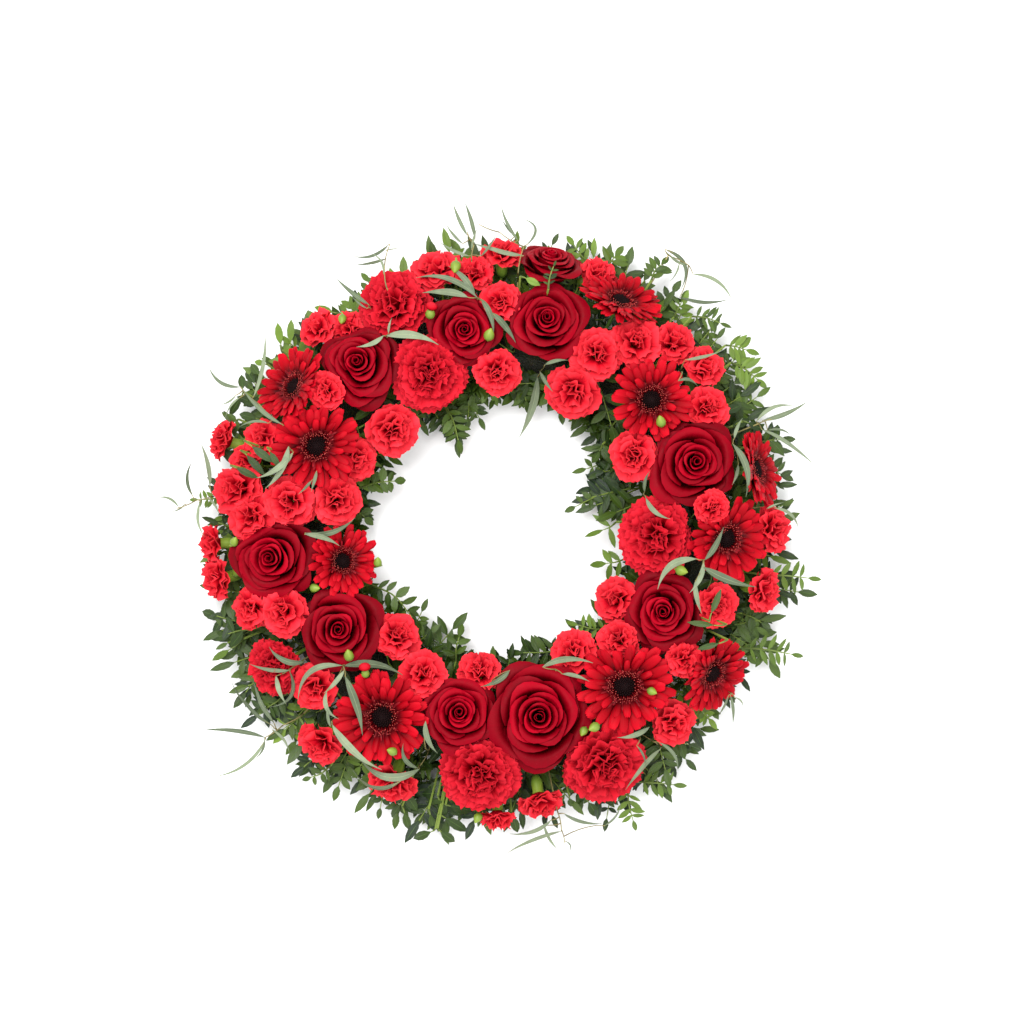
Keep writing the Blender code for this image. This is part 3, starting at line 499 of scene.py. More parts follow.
def marks_for(across, along, tone):
    """The three numbers that the materials read: place across, place along, and tone."""
    shape = np.broadcast_shapes(across.shape, along.shape, tone.shape)
    return np.stack([np.broadcast_to(part, shape) for part in ((across + 1) / 2, along, tone)], axis=-1)


# Places round the ring's section


def dome_reach(angle):
    """How far the ring's domed surface is from its core line, at an angle round its section."""
    x, z = math.cos(angle), math.sin(angle)
    a = (x / (RING_WIDTH / 2)) ** 2 + (z / RING_HEIGHT) ** 2
    b = 2 * z * CORE_HEIGHT / RING_HEIGHT ** 2
    c = (CORE_HEIGHT / RING_HEIGHT) ** 2 - 1
    return (-b + math.sqrt(b * b - 4 * a * c)) / (2 * a)


def on_section(clock, angle, distance):
    """The point at a distance from the core line, at an angle round the section."""
    out = spoke(clock)
    core = out * RING_RADIUS + UP * CORE_HEIGHT
    return core + (out * math.cos(angle) + UP * math.sin(angle)) * distance


def section_place(point):
    """The clock angle and section angle at which a point stands over the ring."""
    across = math.hypot(point[0], point[1]) - RING_RADIUS
    return math.degrees(math.atan2(point[1], point[0])), math.atan2(point[2] - CORE_HEIGHT, across)


def socket_path(clock, angle):
    """The straight run of a stem in the ring: its end inside, and just above its mouth."""
    reach = dome_reach(angle)
    return (
        on_section(clock, angle, reach - SOCKET_DEPTH + STEM_CLEARANCE),
        on_section(clock, angle, reach + MOUTH_RISE),
    )


class Bloom:
    """One flower head: its place, the way it faces, and the planes its neighbours press it with."""

    # How far one bloom of a kind is turned on its axis from the one before it, in radians.
    TURN = 2.4

    def __init__(self, index, kind, clock, offset, diameter, lean, lift=0):
        share = offset * MM / SIDE_REACH
        out = spoke(clock)
        tilt = math.radians(SIDE_LEAN * share + lean)
        height = RING_HEIGHT + STAND_OFF + (KINDS[kind]["lift"] + lift) * MM - SIDE_DROP * share ** 2
        self.kind = kind
        self.centre = out * (RING_RADIUS + offset * MM) + UP * height
        self.axis = out * math.sin(tilt) + UP * math.cos(tilt)
        self.radius = diameter * MM / 2
        side, other = basis(self.axis)
        turn = index * self.TURN
        self.frame = np.stack((
            side * math.cos(turn) + other * math.sin(turn),
            other * math.cos(turn) - side * math.sin(turn),
            self.axis,
        ))
        self.planes = [(-UP, height - SKIRT_CEILING)]
        self.base = self.centre - self.axis * self.radius * KINDS[kind]["depth"]

    def press(self, other, overlap):
        """A plane between two neighbours, which their petals may cross a little."""
        towards = other.centre - self.centre
        gap = float(np.linalg.norm(towards))
        if gap < self.radius + other.radius:
            share = gap * self.radius / (self.radius + other.radius)
            self.planes.append((towards / gap, share + overlap))

    def place(self, local):
        """Points of the bloom's own shape, in radii, softly squeezed inside its planes."""
        reach = self.radius * KINDS[self.kind]["spread"]
        world = local @ self.frame * reach
        way = unit(world)
        crowd = np.ones(world.shape[:-1] + (1,))
        for normal, distance in self.planes:
            facing = np.maximum(way @ normal, 0)[..., None]
            crowd += (facing * reach / distance) ** SQUEEZE
        return self.centre + world * crowd ** (-1 / SQUEEZE)

    def stem_path(self):
        """From the stem's end in the ring, past its mouth, to the bloom's foot."""
        end, mouth = socket_path(*section_place(self.base))
        drop = float(np.linalg.norm(self.base - mouth))
        return [end, mouth, self.base - self.axis * min(0.4 * drop, STEM_NECK), self.base]


def side_stem(bloom, main, number):
    """The path of a side bloom's stem from its fork on the main stem, over the ring, to its cup."""
    clock, angle = section_place(bloom.base)
    main_clock, main_angle = section_place(main.base)
    swing = (main_clock - clock + 180) % 360 - 180
    _, mouth, bend, _ = main.stem_path()
    rise = bend - mouth
    length = float(np.linalg.norm(rise))
    path = [mouth + rise / length * min(FORK_HEIGHT + number * FORK_STEP, 0.9 * length)]
    for share in (0.6, 0.25):
        way = angle + (main_angle - angle) * share
        path.append(on_section(clock + swing * share, way, dome_reach(way) + RUNNER_HEIGHT))
    return path + [bloom.base - bloom.axis * 2 * MM, bloom.base]


def plan_blooms(overlap):
    """Every bloom of the wreath by kind, pressed against its neighbours."""
    plan = {
        kind: [Bloom(k, kind, *row) for k, row in enumerate(rows)]
        for kind, rows in (("rose", ROSES), ("gerbera", GERBERAS), ("carnation", CARNATIONS))
    }
    sprays = [[Bloom(k, "small", *row) for k, row in enumerate(rows)] for rows in SPRAYS]
    everyone = plan["rose"] + plan["gerbera"] + plan["carnation"] + [b for s in sprays for b in s]
    for bloom in everyone:
        for other in everyone:
            if other is not bloom:
                bloom.press(other, overlap)
    plan["spray"] = sprays
    return plan


PLAN = plan_blooms(PETAL_OVERLAP)


# Materials


class Paint:
    """Builds one material's nodes, feeding its shader."""

    def __init__(self, name, roughness, specular, sheen=0.0):
        self.material = bpy.data.materials.new(name)
        self.material.use_nodes = True
        self.tree = self.material.node_tree
        self.shader = self.tree.nodes["Principled BSDF"]
        self.shader.inputs["Roughness"].default_value = roughness
        self.shader.inputs["Sheen Weight"].default_value = sheen
        self.shader.inputs["Specular IOR Level"].default_value = specular

    def node(self, kind, **settings):
        """A new node, with its own settings and the values of its sockets by name."""
        node = self.tree.nodes.new(kind)
        for name, value in settings.items():
            if hasattr(node, name):
                setattr(node, name, value)
            else:
                node.inputs[name.replace("_", " ")].default_value = value
        return node

    def link(self, source, target):
        """Feeds one socket from another."""
        self.tree.links.new(source, target)

    def marks(self):
        """The place across, the place along, and the tone of the petal or leaf."""
        read = self.node("ShaderNodeAttribute", attribute_name="petal")
        split = self.node("ShaderNodeSeparateXYZ")
        self.link(read.outputs["Vector"], split.inputs[0])
        return split.outputs

    def math(self, operation, first, second=0.0, clamp=False):
        """A sum on two sockets or numbers."""
        node = self.node("ShaderNodeMath", operation=operation, use_clamp=clamp)
        for socket, value in zip(node.inputs, (first, second)):
            if isinstance(value, (int, float)):
                socket.default_value = value
            else:
                self.link(value, socket)
        return node.outputs[0]

    def ramp(self, source, stops):
        """Colours by place, from 0 to 1."""
        node = self.node("ShaderNodeValToRGB")
        bands = node.color_ramp.elements
        while len(bands) < len(stops):
            bands.new(0.5)
        for band, (place, colour) in zip(bands, stops):
            band.position = place
            band.color = (*colour, 1)
        self.link(source, node.inputs[0])
        return node.outputs["Color"]

    def noise(self, scale, detail, vector=None):
        """Soft random spots, so many to a metre, or to a unit of the vector."""
        node = self.node("ShaderNodeTexNoise", Scale=scale, Detail=detail, Roughness=0.55)
        if vector is None:
            vector = self.node("ShaderNodeTexCoord").outputs["Object"]
        self.link(vector, node.inputs["Vector"])
        return node.outputs["Fac"]

    def stretched(self, across, along, sockets):
        """Coordinates that run along the petal, for its veins."""
        node = self.node("ShaderNodeCombineXYZ")
        self.link(self.math("MULTIPLY", sockets[0], across), node.inputs[0])
        self.link(self.math("MULTIPLY", sockets[1], along), node.inputs[1])
        self.link(self.math("MULTIPLY", sockets[2], 37.0), node.inputs[2])
        return node.outputs[0]

    def shade(self, colour, factor, low, high):
        """The colour with its brightness moved between two levels."""
        level = self.node("ShaderNodeMapRange", From_Min=0.0, From_Max=1.0, To_Min=low, To_Max=high)
        self.link(factor, level.inputs["Value"])
        node = self.node("ShaderNodeHueSaturation")
        self.link(colour, node.inputs["Color"])
        self.link(level.outputs[0], node.inputs["Value"])
        return node.outputs[0]

    def base(self, colour):
        """The surface's own colour."""
        self.link(colour, self.shader.inputs["Base Color"])

    def bump(self, height, strength, distance):
        """Small relief of the surface."""
        node = self.node("ShaderNodeBump", Strength=strength, Distance=distance)
        self.link(height, node.inputs["Height"])
        self.link(node.outputs[0], self.shader.inputs["Normal"])

    def rough(self, factor, low, high):
        """Roughness between two values, over the range that a noise mostly has."""
        level = self.node("ShaderNodeMapRange", From_Min=0.3, From_Max=0.7, To_Min=low, To_Max=high)
        self.link(factor, level.inputs["Value"])
        self.link(level.outputs[0], self.shader.inputs["Roughness"])


def petal_material(name, stops, veins, vein_depth, roughness, specular=0.14, mottle=0.16):
    """Petal skin: darker towards its foot, veined along its length, each petal a little different."""
    paint = Paint(name, roughness, specular)
    marks = paint.marks()
    vein = paint.noise(1.0, 4.0, paint.stretched(veins, 1.6, marks))
    cloud = paint.noise(90.0, 2.0)
    shift = paint.math("MULTIPLY", paint.math("SUBTRACT", vein, 0.5), 0.22)
    along = paint.math("ADD", marks[1], shift, clamp=True)
    # The stops darken the foot and lighten the rim. For the roses and carnations this is painted shade
    # low between the petals and a painted highlight along the rims.
    colour = paint.ramp(along, stops)
    colour = paint.shade(colour, marks[2], 1 - mottle, 1 + mottle)
    colour = paint.shade(colour, cloud, 0.86, 1.14)
    paint.base(colour)
    fine = paint.noise(1400.0, 2.0)
    height = paint.math("ADD", vein, paint.math("MULTIPLY", fine, 0.35))
    paint.bump(height, 0.55, vein_depth)
    paint.rough(vein, roughness - 0.08, roughness + 0.1)
    return paint.material


def leaf_material(name, dark, light, rib, roughness, specular):
    """Leaf skin: a paler midrib with side veins, and leaves from dark to light green."""
    paint = Paint(name, roughness, specular)
    marks = paint.marks()
    middle = paint.math("ABSOLUTE", paint.math("SUBTRACT", marks[0], 0.5))
    slant = paint.math("SUBTRACT", marks[1], paint.math("MULTIPLY", middle, 0.5))
    wave = paint.math("SINE", paint.math("MULTIPLY", slant, 75.0))
    cloud = paint.noise(120.0, 3.0)
    mix = paint.node("ShaderNodeMix", data_type="RGBA")
    mix.inputs[6].default_value = (*dark, 1)
    mix.inputs[7].default_value = (*light, 1)
    paint.link(marks[2], mix.inputs[0])
    colour = paint.shade(mix.outputs[2], cloud, 0.72, 1.28)
    ribbed = paint.node("ShaderNodeMix", data_type="RGBA")
    paint.link(colour, ribbed.inputs[6])
    ribbed.inputs[7].default_value = (*rib, 1)
    line = paint.math("SUBTRACT", 1.0, paint.math("MULTIPLY", middle, 22.0), clamp=True)
    paint.link(paint.math("MULTIPLY", line, 0.55), ribbed.inputs[0])
    paint.base(ribbed.outputs[2])
    height = paint.math("ADD", paint.math("MULTIPLY", wave, 0.18), paint.math("MULTIPLY", line, -0.8))
    paint.bump(paint.math("ADD", height, paint.math("MULTIPLY", cloud, 0.6)), 0.45, 0.0005)
    paint.rough(cloud, roughness - 0.07, roughness + 0.12)
    return paint.material


def green_material(name, low, high, roughness=0.5):
    """Stems, cups and buds: green from foot to tip, with fine lengthwise lines."""
    paint = Paint(name, roughness, 0.4)
    marks = paint.marks()
    lines = paint.noise(1.0, 3.0, paint.stretched(30.0, 2.0, marks))
    colour = paint.ramp(marks[1], ((0.0, low), (1.0, high)))
    colour = paint.shade(colour, lines, 0.78, 1.22)
    paint.base(paint.shade(colour, paint.noise(220.0, 3.0), 0.85, 1.15))
    paint.bump(lines, 0.4, 0.0003)
    paint.rough(lines, roughness - 0.08, roughness + 0.1)
    return paint.material


def disc_material():
    """The near-black brown middle of a gerbera."""
    paint = Paint("gerbera_disc", 0.75, 0.10)
    cloud = paint.noise(900.0, 3.0)
    colour = paint.ramp(cloud, ((0.25, srgb(8, 3, 4)), (0.6, srgb(24, 7, 8)), (0.85, srgb(56, 18, 14))))
    paint.base(colour)
    paint.bump(cloud, 0.7, 0.0006)
    paint.rough(cloud, 0.62, 0.85)
    return paint.material


def moss_material():
    """The ring's padding: damp moss bound round the base."""
    paint = Paint("ring_moss", 0.95, 0.2, sheen=0.1)
    fine = paint.noise(650.0, 6.0)
    broad = paint.noise(60.0, 4.0)
    colour = paint.ramp(
        paint.math("ADD", paint.math("MULTIPLY", fine, 0.6), paint.math("MULTIPLY", broad, 0.4)),
        (
            (0.3, srgb(8, 11, 4)), (0.5, srgb(26, 30, 11)), (0.62, srgb(52, 52, 20)),
            (0.75, srgb(78, 70, 32)),
        ),
    )
    paint.base(colour)
    paint.bump(fine, 1.0, 0.003)
    paint.rough(fine, 0.85, 1.0)
    return paint.material


def floor_material(colour):
    """A plain pale floor, matt and almost even."""
    paint = Paint("studio_floor", 0.9, 0.1)
    cloud = paint.noise(3.0, 2.0)
    paint.base(paint.ramp(cloud, ((0.0, tuple(0.985 * c for c in colour)), (1.0, colour))))
    return paint.material


# Flower heads, whose own shapes are measured in radii of the bloom


def rose_petals(bloom, petals, rng):
    """Cupped petals in a spiral: a tight bud in the middle, then petals that open and flare out."""
    rows, across = 8, 12
    s = np.linspace(0, 1, petals)[:, None, None]
    h = np.linspace(0, 1, rows)[None, :, None] ** 0.75
    a = np.linspace(-1, 1, across)[None, None, :]
    jitter = rng.uniform(-1, 1, (petals, 1, 1, 6))
    theta = np.arange(petals)[:, None, None] * GOLDEN + jitter[..., 0] * 0.30
    half = np.radians(118 - 66 * s ** 0.5)
    outline = h * (1 - (0.08 + 0.20 * s) * np.abs(a) ** 2.2)
    opened = np.clip((s + 0.08) / 0.30, 0, 1)
    rim = 0.06 + 0.95 * np.minimum(1, 1.22 * s ** 1.25) + 0.055 * jitter[..., 1] * np.minimum(1, 2 * s)
    top = 0.50 - 0.16 * s - 0.30 * s ** 2 + 0.045 * jitter[..., 2] * opened
    radius = bezier(
        outline, 0.02 + 0.08 * s, rim * (0.60 + 0.22 * s) + 0.04, rim * (1.06 - 0.40 * opened),
        rim * (0.84 + 0.16 * opened),
    )
    height = bezier(outline, -0.50, -0.26 - 0.16 * s, top - 0.10 + 0.14 * opened, top - 0.02 * opened)
    rolled = np.clip((outline - 0.80) / 0.20, 0, 1) ** 1.6
    radius = radius + (0.030 + 0.045 * s) * rolled * opened * (1.0 - 0.9 * np.abs(a)) ** 1.3
    height = height - (0.040 + 0.085 * s ** 2) * rolled * opened
    wave = np.sin(a * (3.0 + jitter[..., 3]) * 1.6 + jitter[..., 4] * 3.0) * outline ** 4
    height = height + (0.012 + 0.030 * s) * wave
    radius = radius * (1 + (0.06 + 0.06 * jitter[..., 5]) * a) + (0.008 + 0.024 * s) * wave
    angle = theta + a * half * (0.45 + 0.55 * np.minimum(1, outline / 0.5))
    local = np.stack((radius * np.cos(angle), radius * np.sin(angle), height), axis=-1)
    # Each petal's tone differs at random. The outer petals are darker, partly from their own deeper
    # maroon and partly as painted shade on the outer petals that droop away from the light.
    tone = 0.66 + 0.24 * jitter[..., 0] - 0.60 * s ** 2
    return bloom.place(local), marks_for(a, outline, tone)


# How far along a ray its points stand, and the whorls of rays from outside to inside, as (count,
# reach, width, heights of foot and tip).
RAY_STEPS = np.array((0.0, 0.20, 0.44, 0.68, 0.86, 0.96, 1.0))
OUTER_WHORLS = (
    (20, 1.03, 0.235, (-0.32, -0.02)), (19, 0.95, 0.205, (-0.27, 0.10)),
    (15, 0.70, 0.15, (-0.23, 0.09)),
)
INNER_WHORLS = ((30, 0.54, 0.066, (-0.22, 0.00)), (28, 0.44, 0.066, (-0.20, -0.03)))
# The disc of a gerbera: its florets, and the share of the radius inside which they are still closed.
FLORETS = 250
CLOSED_FLORETS = 0.21


def strap_rays(bloom, count, reach, foot, width, levels, rng, narrow=False):
    """A whorl of strap-shaped rays with blunt notched tips; wide ones have two grooves each."""
    across, steps = (3, RAY_STEPS[::2]) if narrow else (5, RAY_STEPS)
    h = steps[None, :, None]
    a = np.linspace(-1, 1, across)[None, None, :]
    jitter = rng.uniform(-1, 1, (count, 1, 1, 6))
    theta = (np.arange(count)[:, None, None] + 0.34 * jitter[..., 0]) * math.tau / count
    theta = theta + rng.uniform(0, 6)
    length = reach * (1 + 0.09 * jitter[..., 1])
    blunt = np.clip((h - 0.66) / 0.34, 0, 1)
    run = foot + (length - foot) * h - 0.022 * blunt * (1 - np.abs(2 * np.abs(a) - 1))
    swell = 0.42 + 0.58 * np.sin(math.pi / 2 * np.minimum(1, h / 0.5))
    side = a * width / 2 * swell * np.sqrt(1 - 0.85 * blunt ** 3) * (1 + 0.12 * jitter[..., 2])
    side = side + 0.05 * jitter[..., 3] * h ** 2
    low, high = levels
    height = low + (high - low) * h ** 0.9 + 0.05 * np.sin(math.pi * h)
    height = height + 0.045 * jitter[..., 4] * h ** 2
    height = height - 0.05 * blunt * (0.6 + 0.8 * jitter[..., 5])
    height = height - 0.020 * np.cos(2 * math.pi * a) * (1 - 0.6 * h) - 0.02 * a ** 2
    height = height + 0.035 * a * jitter[..., 2] * h
    local = np.stack((
        run * np.cos(theta) - side * np.sin(theta),
        run * np.sin(theta) + side * np.cos(theta),
        np.broadcast_to(height, np.broadcast_shapes(height.shape, side.shape)),
    ), axis=-1)
    return bloom.place(local), marks_for(a, h, 0.5 + 0.5 * jitter[..., 2])


# The layers of petals of a large and a small carnation, as (tilt from the axis in degrees, petals).
LARGE_LAYERS = ((98, 8), (84, 8), (70, 8), (56, 8), (42, 6), (28, 5), (14, 4), (4, 3))
SMALL_LAYERS = ((98, 5), (80, 5), (58, 4), (36, 4), (16, 3), (3, 2))


def frilled_petals(bloom, layers, across, rows, frill, teeth, waves, rng):
    """Fan-shaped petals with toothed, ruffled rims, on a dome."""
    tilt = np.concatenate([np.full(count, angle) for angle, count in layers])
    turn = np.concatenate([
        (np.arange(count) + rng.uniform(0, 1)) * math.tau / count for _, count in layers
    ])
    count = len(tilt)
    jitter = rng.uniform(-1, 1, (count, 1, 1, 10))
    q = np.radians(tilt)[:, None, None] + 0.17 * jitter[..., 0]
    theta = turn[:, None, None] + 0.30 * jitter[..., 1]
    h = np.linspace(0, 1, rows)[None, :, None] ** 0.75
    a = np.linspace(-1, 1, across)[None, None, :]
    rim = np.sin(q) * (1 + 0.08 * jitter[..., 2])
    top = -0.06 + 0.50 * np.cos(q) + 0.03 * jitter[..., 3]
    half = 0.34 + 0.22 * np.sin(q) + 0.04 * jitter[..., 9]
    step = np.arange(across)[None, None, :] % 2
    edge = 1 - 0.10 * a ** 2 - teeth * step * rng.uniform(0.4, 1.0, (count, 1, across))
    reach = h * (1 - (1 - edge) * h ** 3)
    radius = bezier(reach, 0.03, 0.08 + 0.10 * rim, rim * 0.60, rim)
    height = bezier(reach, -0.62, -0.22 + 0.1 * top, top + 0.04, top)
    side = a * half * (0.10 + 0.90 * np.minimum(1, h) ** 0.9)
    bow = np.where(np.sin(q) > 0.55, 0.50 / np.maximum(rim, 0.5), 1.6 * jitter[..., 8])
    radius = radius - bow * side ** 2
    local = np.stack((
        radius * np.cos(theta) - side * np.sin(theta),
        radius * np.sin(theta) + side * np.cos(theta),
        np.broadcast_to(height, np.broadcast_shapes(height.shape, side.shape)),
    ), axis=-1)
    normal = unit(np.cross(np.gradient(local, axis=2), np.gradient(local, axis=1)))
    phase = jitter[..., 4] * math.pi
    ripple = np.sin(a * math.pi * (waves + 0.3 * jitter[..., 5]) + phase)
    ripple = ripple + 0.45 * np.sin(a * math.pi * (2.1 * waves + jitter[..., 6]) + 2 * phase)
    inner = 0.7 + 0.5 * np.cos(q)
    ruffle = frill * ripple * reach ** 2.0 * inner
    buckle = 0.30 * frill * np.sin(reach * 8 + jitter[..., 7] * 3 + a * 2) * reach
    local = local + normal * (ruffle + buckle)[..., None]
    return bloom.place(local), marks_for(a, reach, 0.25 + 0.45 * np.sin(q) + 0.30 * jitter[..., 3])


def add_stem(parts, path, width, skin, count=9, sides=8):
    """A bloom's stem along its path, for a width in mm."""
    parts.tube(smooth_path(path, count), width / 2 * MM * STEM_FILL, sides, skin)


def grow_rose(bloom, number, settings, skins):
    """A rose: its petals, stem, hip and sepals."""
    velvet, green = range(2)
    rng = draws("rose", number)
    parts = Parts()
    grids, marks = rose_petals(bloom, settings.petals, rng)
    parts.sheets(grids, marks, settings.thickness, velvet)
    add_stem(parts, bloom.stem_path(), KINDS["rose"]["stem"], green)
    rise = np.linspace(-1, 1, 7)
    hip = bloom.base + bloom.axis * (0.12 + 0.16 * rise[:, None]) * bloom.radius
    parts.tube(hip, bloom.radius * 0.16 * np.sqrt(1.02 - rise ** 2 * 0.9), 10, green)
    grids, marks = strap_rays(bloom, 5, 0.62, 0.06, 0.22, (-0.52, -0.46), rng, narrow=True)
    parts.sheets(grids, marks, 0.6 * MM, green)
    parts.piece(f"rose_bloom_{number:02d}", skins, (f"rose_{number:02d}",))


def add_florets(parts, bloom, rng, closed, anther):
    """The florets of a gerbera's disc in a spiral: closed in the middle, then pale and loose."""
    places = np.arange(FLORETS)
    spread = 0.43 * np.sqrt((places + 0.5) / FLORETS)
    for k, reach in zip(places, spread):
        way = np.array((math.cos(k * GOLDEN), math.sin(k * GOLDEN), 0.0))
        foot = way * reach * 0.94 + UP * (-0.10 - 0.45 * reach ** 2)
        if reach < CLOSED_FLORETS:
            tip = foot + UP * 0.055 + way * 0.01
            path = bloom.place(np.stack((foot - UP * 0.03, foot + (tip - foot) * 0.6, tip)))
            parts.tube(path, np.array((0.024, 0.022, 0.007)) * bloom.radius, 5, closed)
        else:
            length = rng.uniform(0.05, 0.12)
            tip = foot + UP * length + way * length * rng.uniform(0.2, 0.9)
            path = bloom.place(np.stack((foot, foot + (tip - foot) * 0.75, tip)))
            radii = np.array((0.011, 0.009, 0.012)) * bloom.radius
            parts.tube(path, radii, 3, anther, rng.uniform(0, 1))


def grow_gerbera(bloom, number, settings, skins):
    """A gerbera: its whorls of rays, its disc, and its cup with bracts on a bare stem."""
    ray, short, disc, anther, green = range(5)
    rng = draws("gerbera", number)
    parts = Parts()
    for count, reach, width, levels in OUTER_WHORLS:
        grids, marks = strap_rays(bloom, count, reach, 0.20, width, levels, rng)
        parts.sheets(grids, marks, settings.thickness, ray)
    for count, reach, width, levels in INNER_WHORLS:
        grids, marks = strap_rays(bloom, count, reach, 0.24, width, levels, rng, narrow=True)
        parts.sheets(grids, marks, settings.thickness, short)
    add_florets(parts, bloom, rng, disc, anther)
    low = np.linspace(0, 1, 6)[:, None]
    dome = bloom.place(UP * (-0.34 + 0.26 * low))
    parts.tube(dome, bloom.radius * np.array((0.12, 0.22, 0.26, 0.25, 0.18, 0.06)), 14, disc)
    add_stem(parts, bloom.stem_path(), KINDS["gerbera"]["stem"], green)
    cup = bloom.place(UP * (-0.46 + 0.18 * low))
    parts.tube(cup, bloom.radius * np.array((0.07, 0.16, 0.24, 0.29, 0.31, 0.30)), 14, green)
    grids, marks = strap_rays(bloom, 22, 0.44, 0.20, 0.09, (-0.38, -0.24), rng, narrow=True)
    parts.sheets(grids, marks, 0.6 * MM, green)
    name = f"gerbera_{number:02d}"
    parts.piece(f"gerbera_bloom_{number:02d}", skins, (name,))


def add_cup(parts, bloom, width, skin):
    """The long green cup that holds a carnation's petals, a little wider at its mouth."""
    depth = KINDS[bloom.kind]["depth"]
    low = np.linspace(0, 1, 7)
    path = bloom.place(UP * (-depth + (depth - 0.42) * low[:, None]))
    shape = np.array((0.30, 0.72, 0.92, 1.0, 0.98, 0.94, 1.04))
    parts.tube(path, width * shape, 9, skin, 0.6)


def grow_carnation(bloom, number, settings, skins):
    """A large carnation: its ruffled petals, its cup and its stem."""
    petal, green = range(2)
    rng = draws("carnation", number)
    parts = Parts()
    frill = settings.frill / bloom.radius
    grids, marks = frilled_petals(bloom, LARGE_LAYERS, 17, 6, frill, 0.06, 2.1, rng)
    parts.sheets(grids, marks, settings.thickness, petal)
    add_cup(parts, bloom, bloom.radius * 0.20, green)
    add_stem(parts, bloom.stem_path(), KINDS["carnation"]["stem"], green)
    name = f"carnation_{number:02d}"
    parts.piece(f"carnation_bloom_{number:02d}", skins, (name,))


def grow_spray(blooms, number, settings, skins):
    """A spray of small carnations, whose side stems fork from the first one's stem."""
    petal, green = range(2)
    rng = draws("spray", number)
    parts = Parts()
    for place, bloom in enumerate(blooms):
        frill = settings.small_frill / bloom.radius
        grids, marks = frilled_petals(bloom, SMALL_LAYERS, 11, 5, frill, 0.055, 1.6, rng)
        parts.sheets(grids, marks, settings.thickness, petal)
        add_cup(parts, bloom, 5.2 * MM, green)
        if place == 0:
            path, width = bloom.stem_path(), KINDS["small"]["stem"]
        else:
            path, width = side_stem(bloom, blooms[0], place - 1), SIDE_STEM
        add_stem(parts, path, width, green, 11, 6)
    name = f"spray_carnation_{number:02d}"
    parts.piece(f"spray_bloom_{number:02d}", skins, (name,))


# Leaves


# The materials of a leaf, in the order in which each piece of leaves takes them.
LEAF, STALK = range(2)


def blades(feet, ways, normals, lengths, widths, bend, tones):
    """Leaf blades: foot, direction, upper side, length and width of each; bent down and folded."""
    rows, across, belly, fold = 5, 3, 0.92, 0.10
    h = np.linspace(0, 1, rows)[None, :, None, None]
    a = np.linspace(-1, 1, across)[None, None, :, None]
    feet, ways, normals = (np.asarray(v, float)[:, None, None, :] for v in (feet, ways, normals))
    lengths, widths, bend = (np.asarray(v, float)[:, None, None, None] for v in (lengths, widths, bend))
    sides = unit(np.cross(normals, ways))
    body = np.maximum(np.sin(math.pi * h ** belly) ** 0.7, 0.08)
    grids = (
        feet + ways * lengths * (h - 0.16 * bend ** 2 * h ** 2)
        + sides * widths / 2 * a * body
        - normals * lengths * bend * 0.5 * h ** 2
        + normals * np.abs(a) * fold * widths * body
    )
    grids[..., 2] = np.maximum(grids[..., 2], MM)
    tone = np.asarray(tones, float)[:, None, None]
    return grids, marks_for(a[..., 0], h[..., 0], tone)


def add_pinnate(parts, path, pairs, length, width, tone, rng, bare):
    """A leaf: a thin stalk, bare for a share of it, with leaflets in pairs and one at its tip."""
    line = smooth_path(path, 10)
    parts.tube(line, np.linspace(0.9, 0.4, 10) * MM, 4, STALK)
    along = unit(np.gradient(line, axis=0))
    leaflets = []
    for pair in range(pairs):
        share = bare + (0.93 - bare) * (pair + 0.5) / pairs
        place = share * (len(line) - 1)
        k = int(place)
        spot = line[k] + (line[k + 1] - line[k]) * (place - k)
        way = along[k]
        side = unit(np.cross(way, UP))
        up = unit(np.cross(side, way) + side * rng.uniform(-0.25, 0.25))
        shrink = 1 - 0.35 * abs(2 * share - 1.1)
        for hand in (-1, 1):
            lean = rng.uniform(0.28, 0.66)
            lift = rng.uniform(-0.22, 0.18)
            leaflets.append((
                spot + way * rng.uniform(-1, 1) * MM,
                unit(way * lean + side * hand * (1.1 - 0.4 * lean) + up * lift),
                unit(up + side * hand * rng.uniform(-0.3, 0.2)),
                length * shrink * rng.uniform(0.85, 1.1),
                width * shrink * rng.uniform(0.85, 1.15),
                rng.uniform(0.0, 0.5),
                tone + rng.uniform(-0.12, 0.12),
            ))
    leaflets.append((
        line[-1], along[-1], unit(UP - along[-1] * along[-1][2]),
        length * rng.uniform(0.8, 1.0), width * 0.9, rng.uniform(0, 0.4), tone,
    ))
    feet, ways, normals, lengths, widths, bends, tones = (np.array(part) for part in zip(*leaflets))
    normals = unit(normals - ways * np.sum(normals * ways, axis=1, keepdims=True))
    grids, marks = blades(feet, ways, normals, lengths, widths, bends, np.clip(tones, 0, 1))
    parts.sheets(grids, marks, 0.5 * MM, LEAF)


def reach_at(table, clock):
    """How far a skirt reaches at a clock angle, between the angles of its table."""
    clocks = [row[0] for row in table] + [table[0][0] + 360]
    reaches = [row[1] for row in table] + [table[0][1]]
    return float(np.interp(clock % 360, clocks, reaches))


def skirt_leaf(parts, clock, reach, level, outwards, settings, tone, rng, swing):
    """One leaf whose stalk leaves the ring's side low down and passes out under the blooms."""
    edge = RING_RADIUS + outwards * RING_WIDTH / 2
    foot = spoke(clock - swing) * (edge - outwards * 4 * MM) + UP * level * 0.7
    share = rng.uniform(0.48, 1.0)
    size = settings.leaflet_length * share
    tip_reach = reach - outwards * size * 0.85
    tip = spoke(clock) * tip_reach + UP * (level + rng.uniform(0, 7) * MM)
    middle = spoke(clock - swing * 0.4) * (0.5 * (edge + tip_reach)) + UP * level
    length = float(np.linalg.norm(tip - foot))
    pairs = max(2, min(5, int(0.6 * length / (11.0 * share * MM))))
    width = settings.leaflet_width * (0.25 + 0.75 * share) * rng.uniform(0.8, 1.1)
    add_pinnate(parts, (foot, middle, tip), pairs, size, width, tone, rng, bare=0.40)


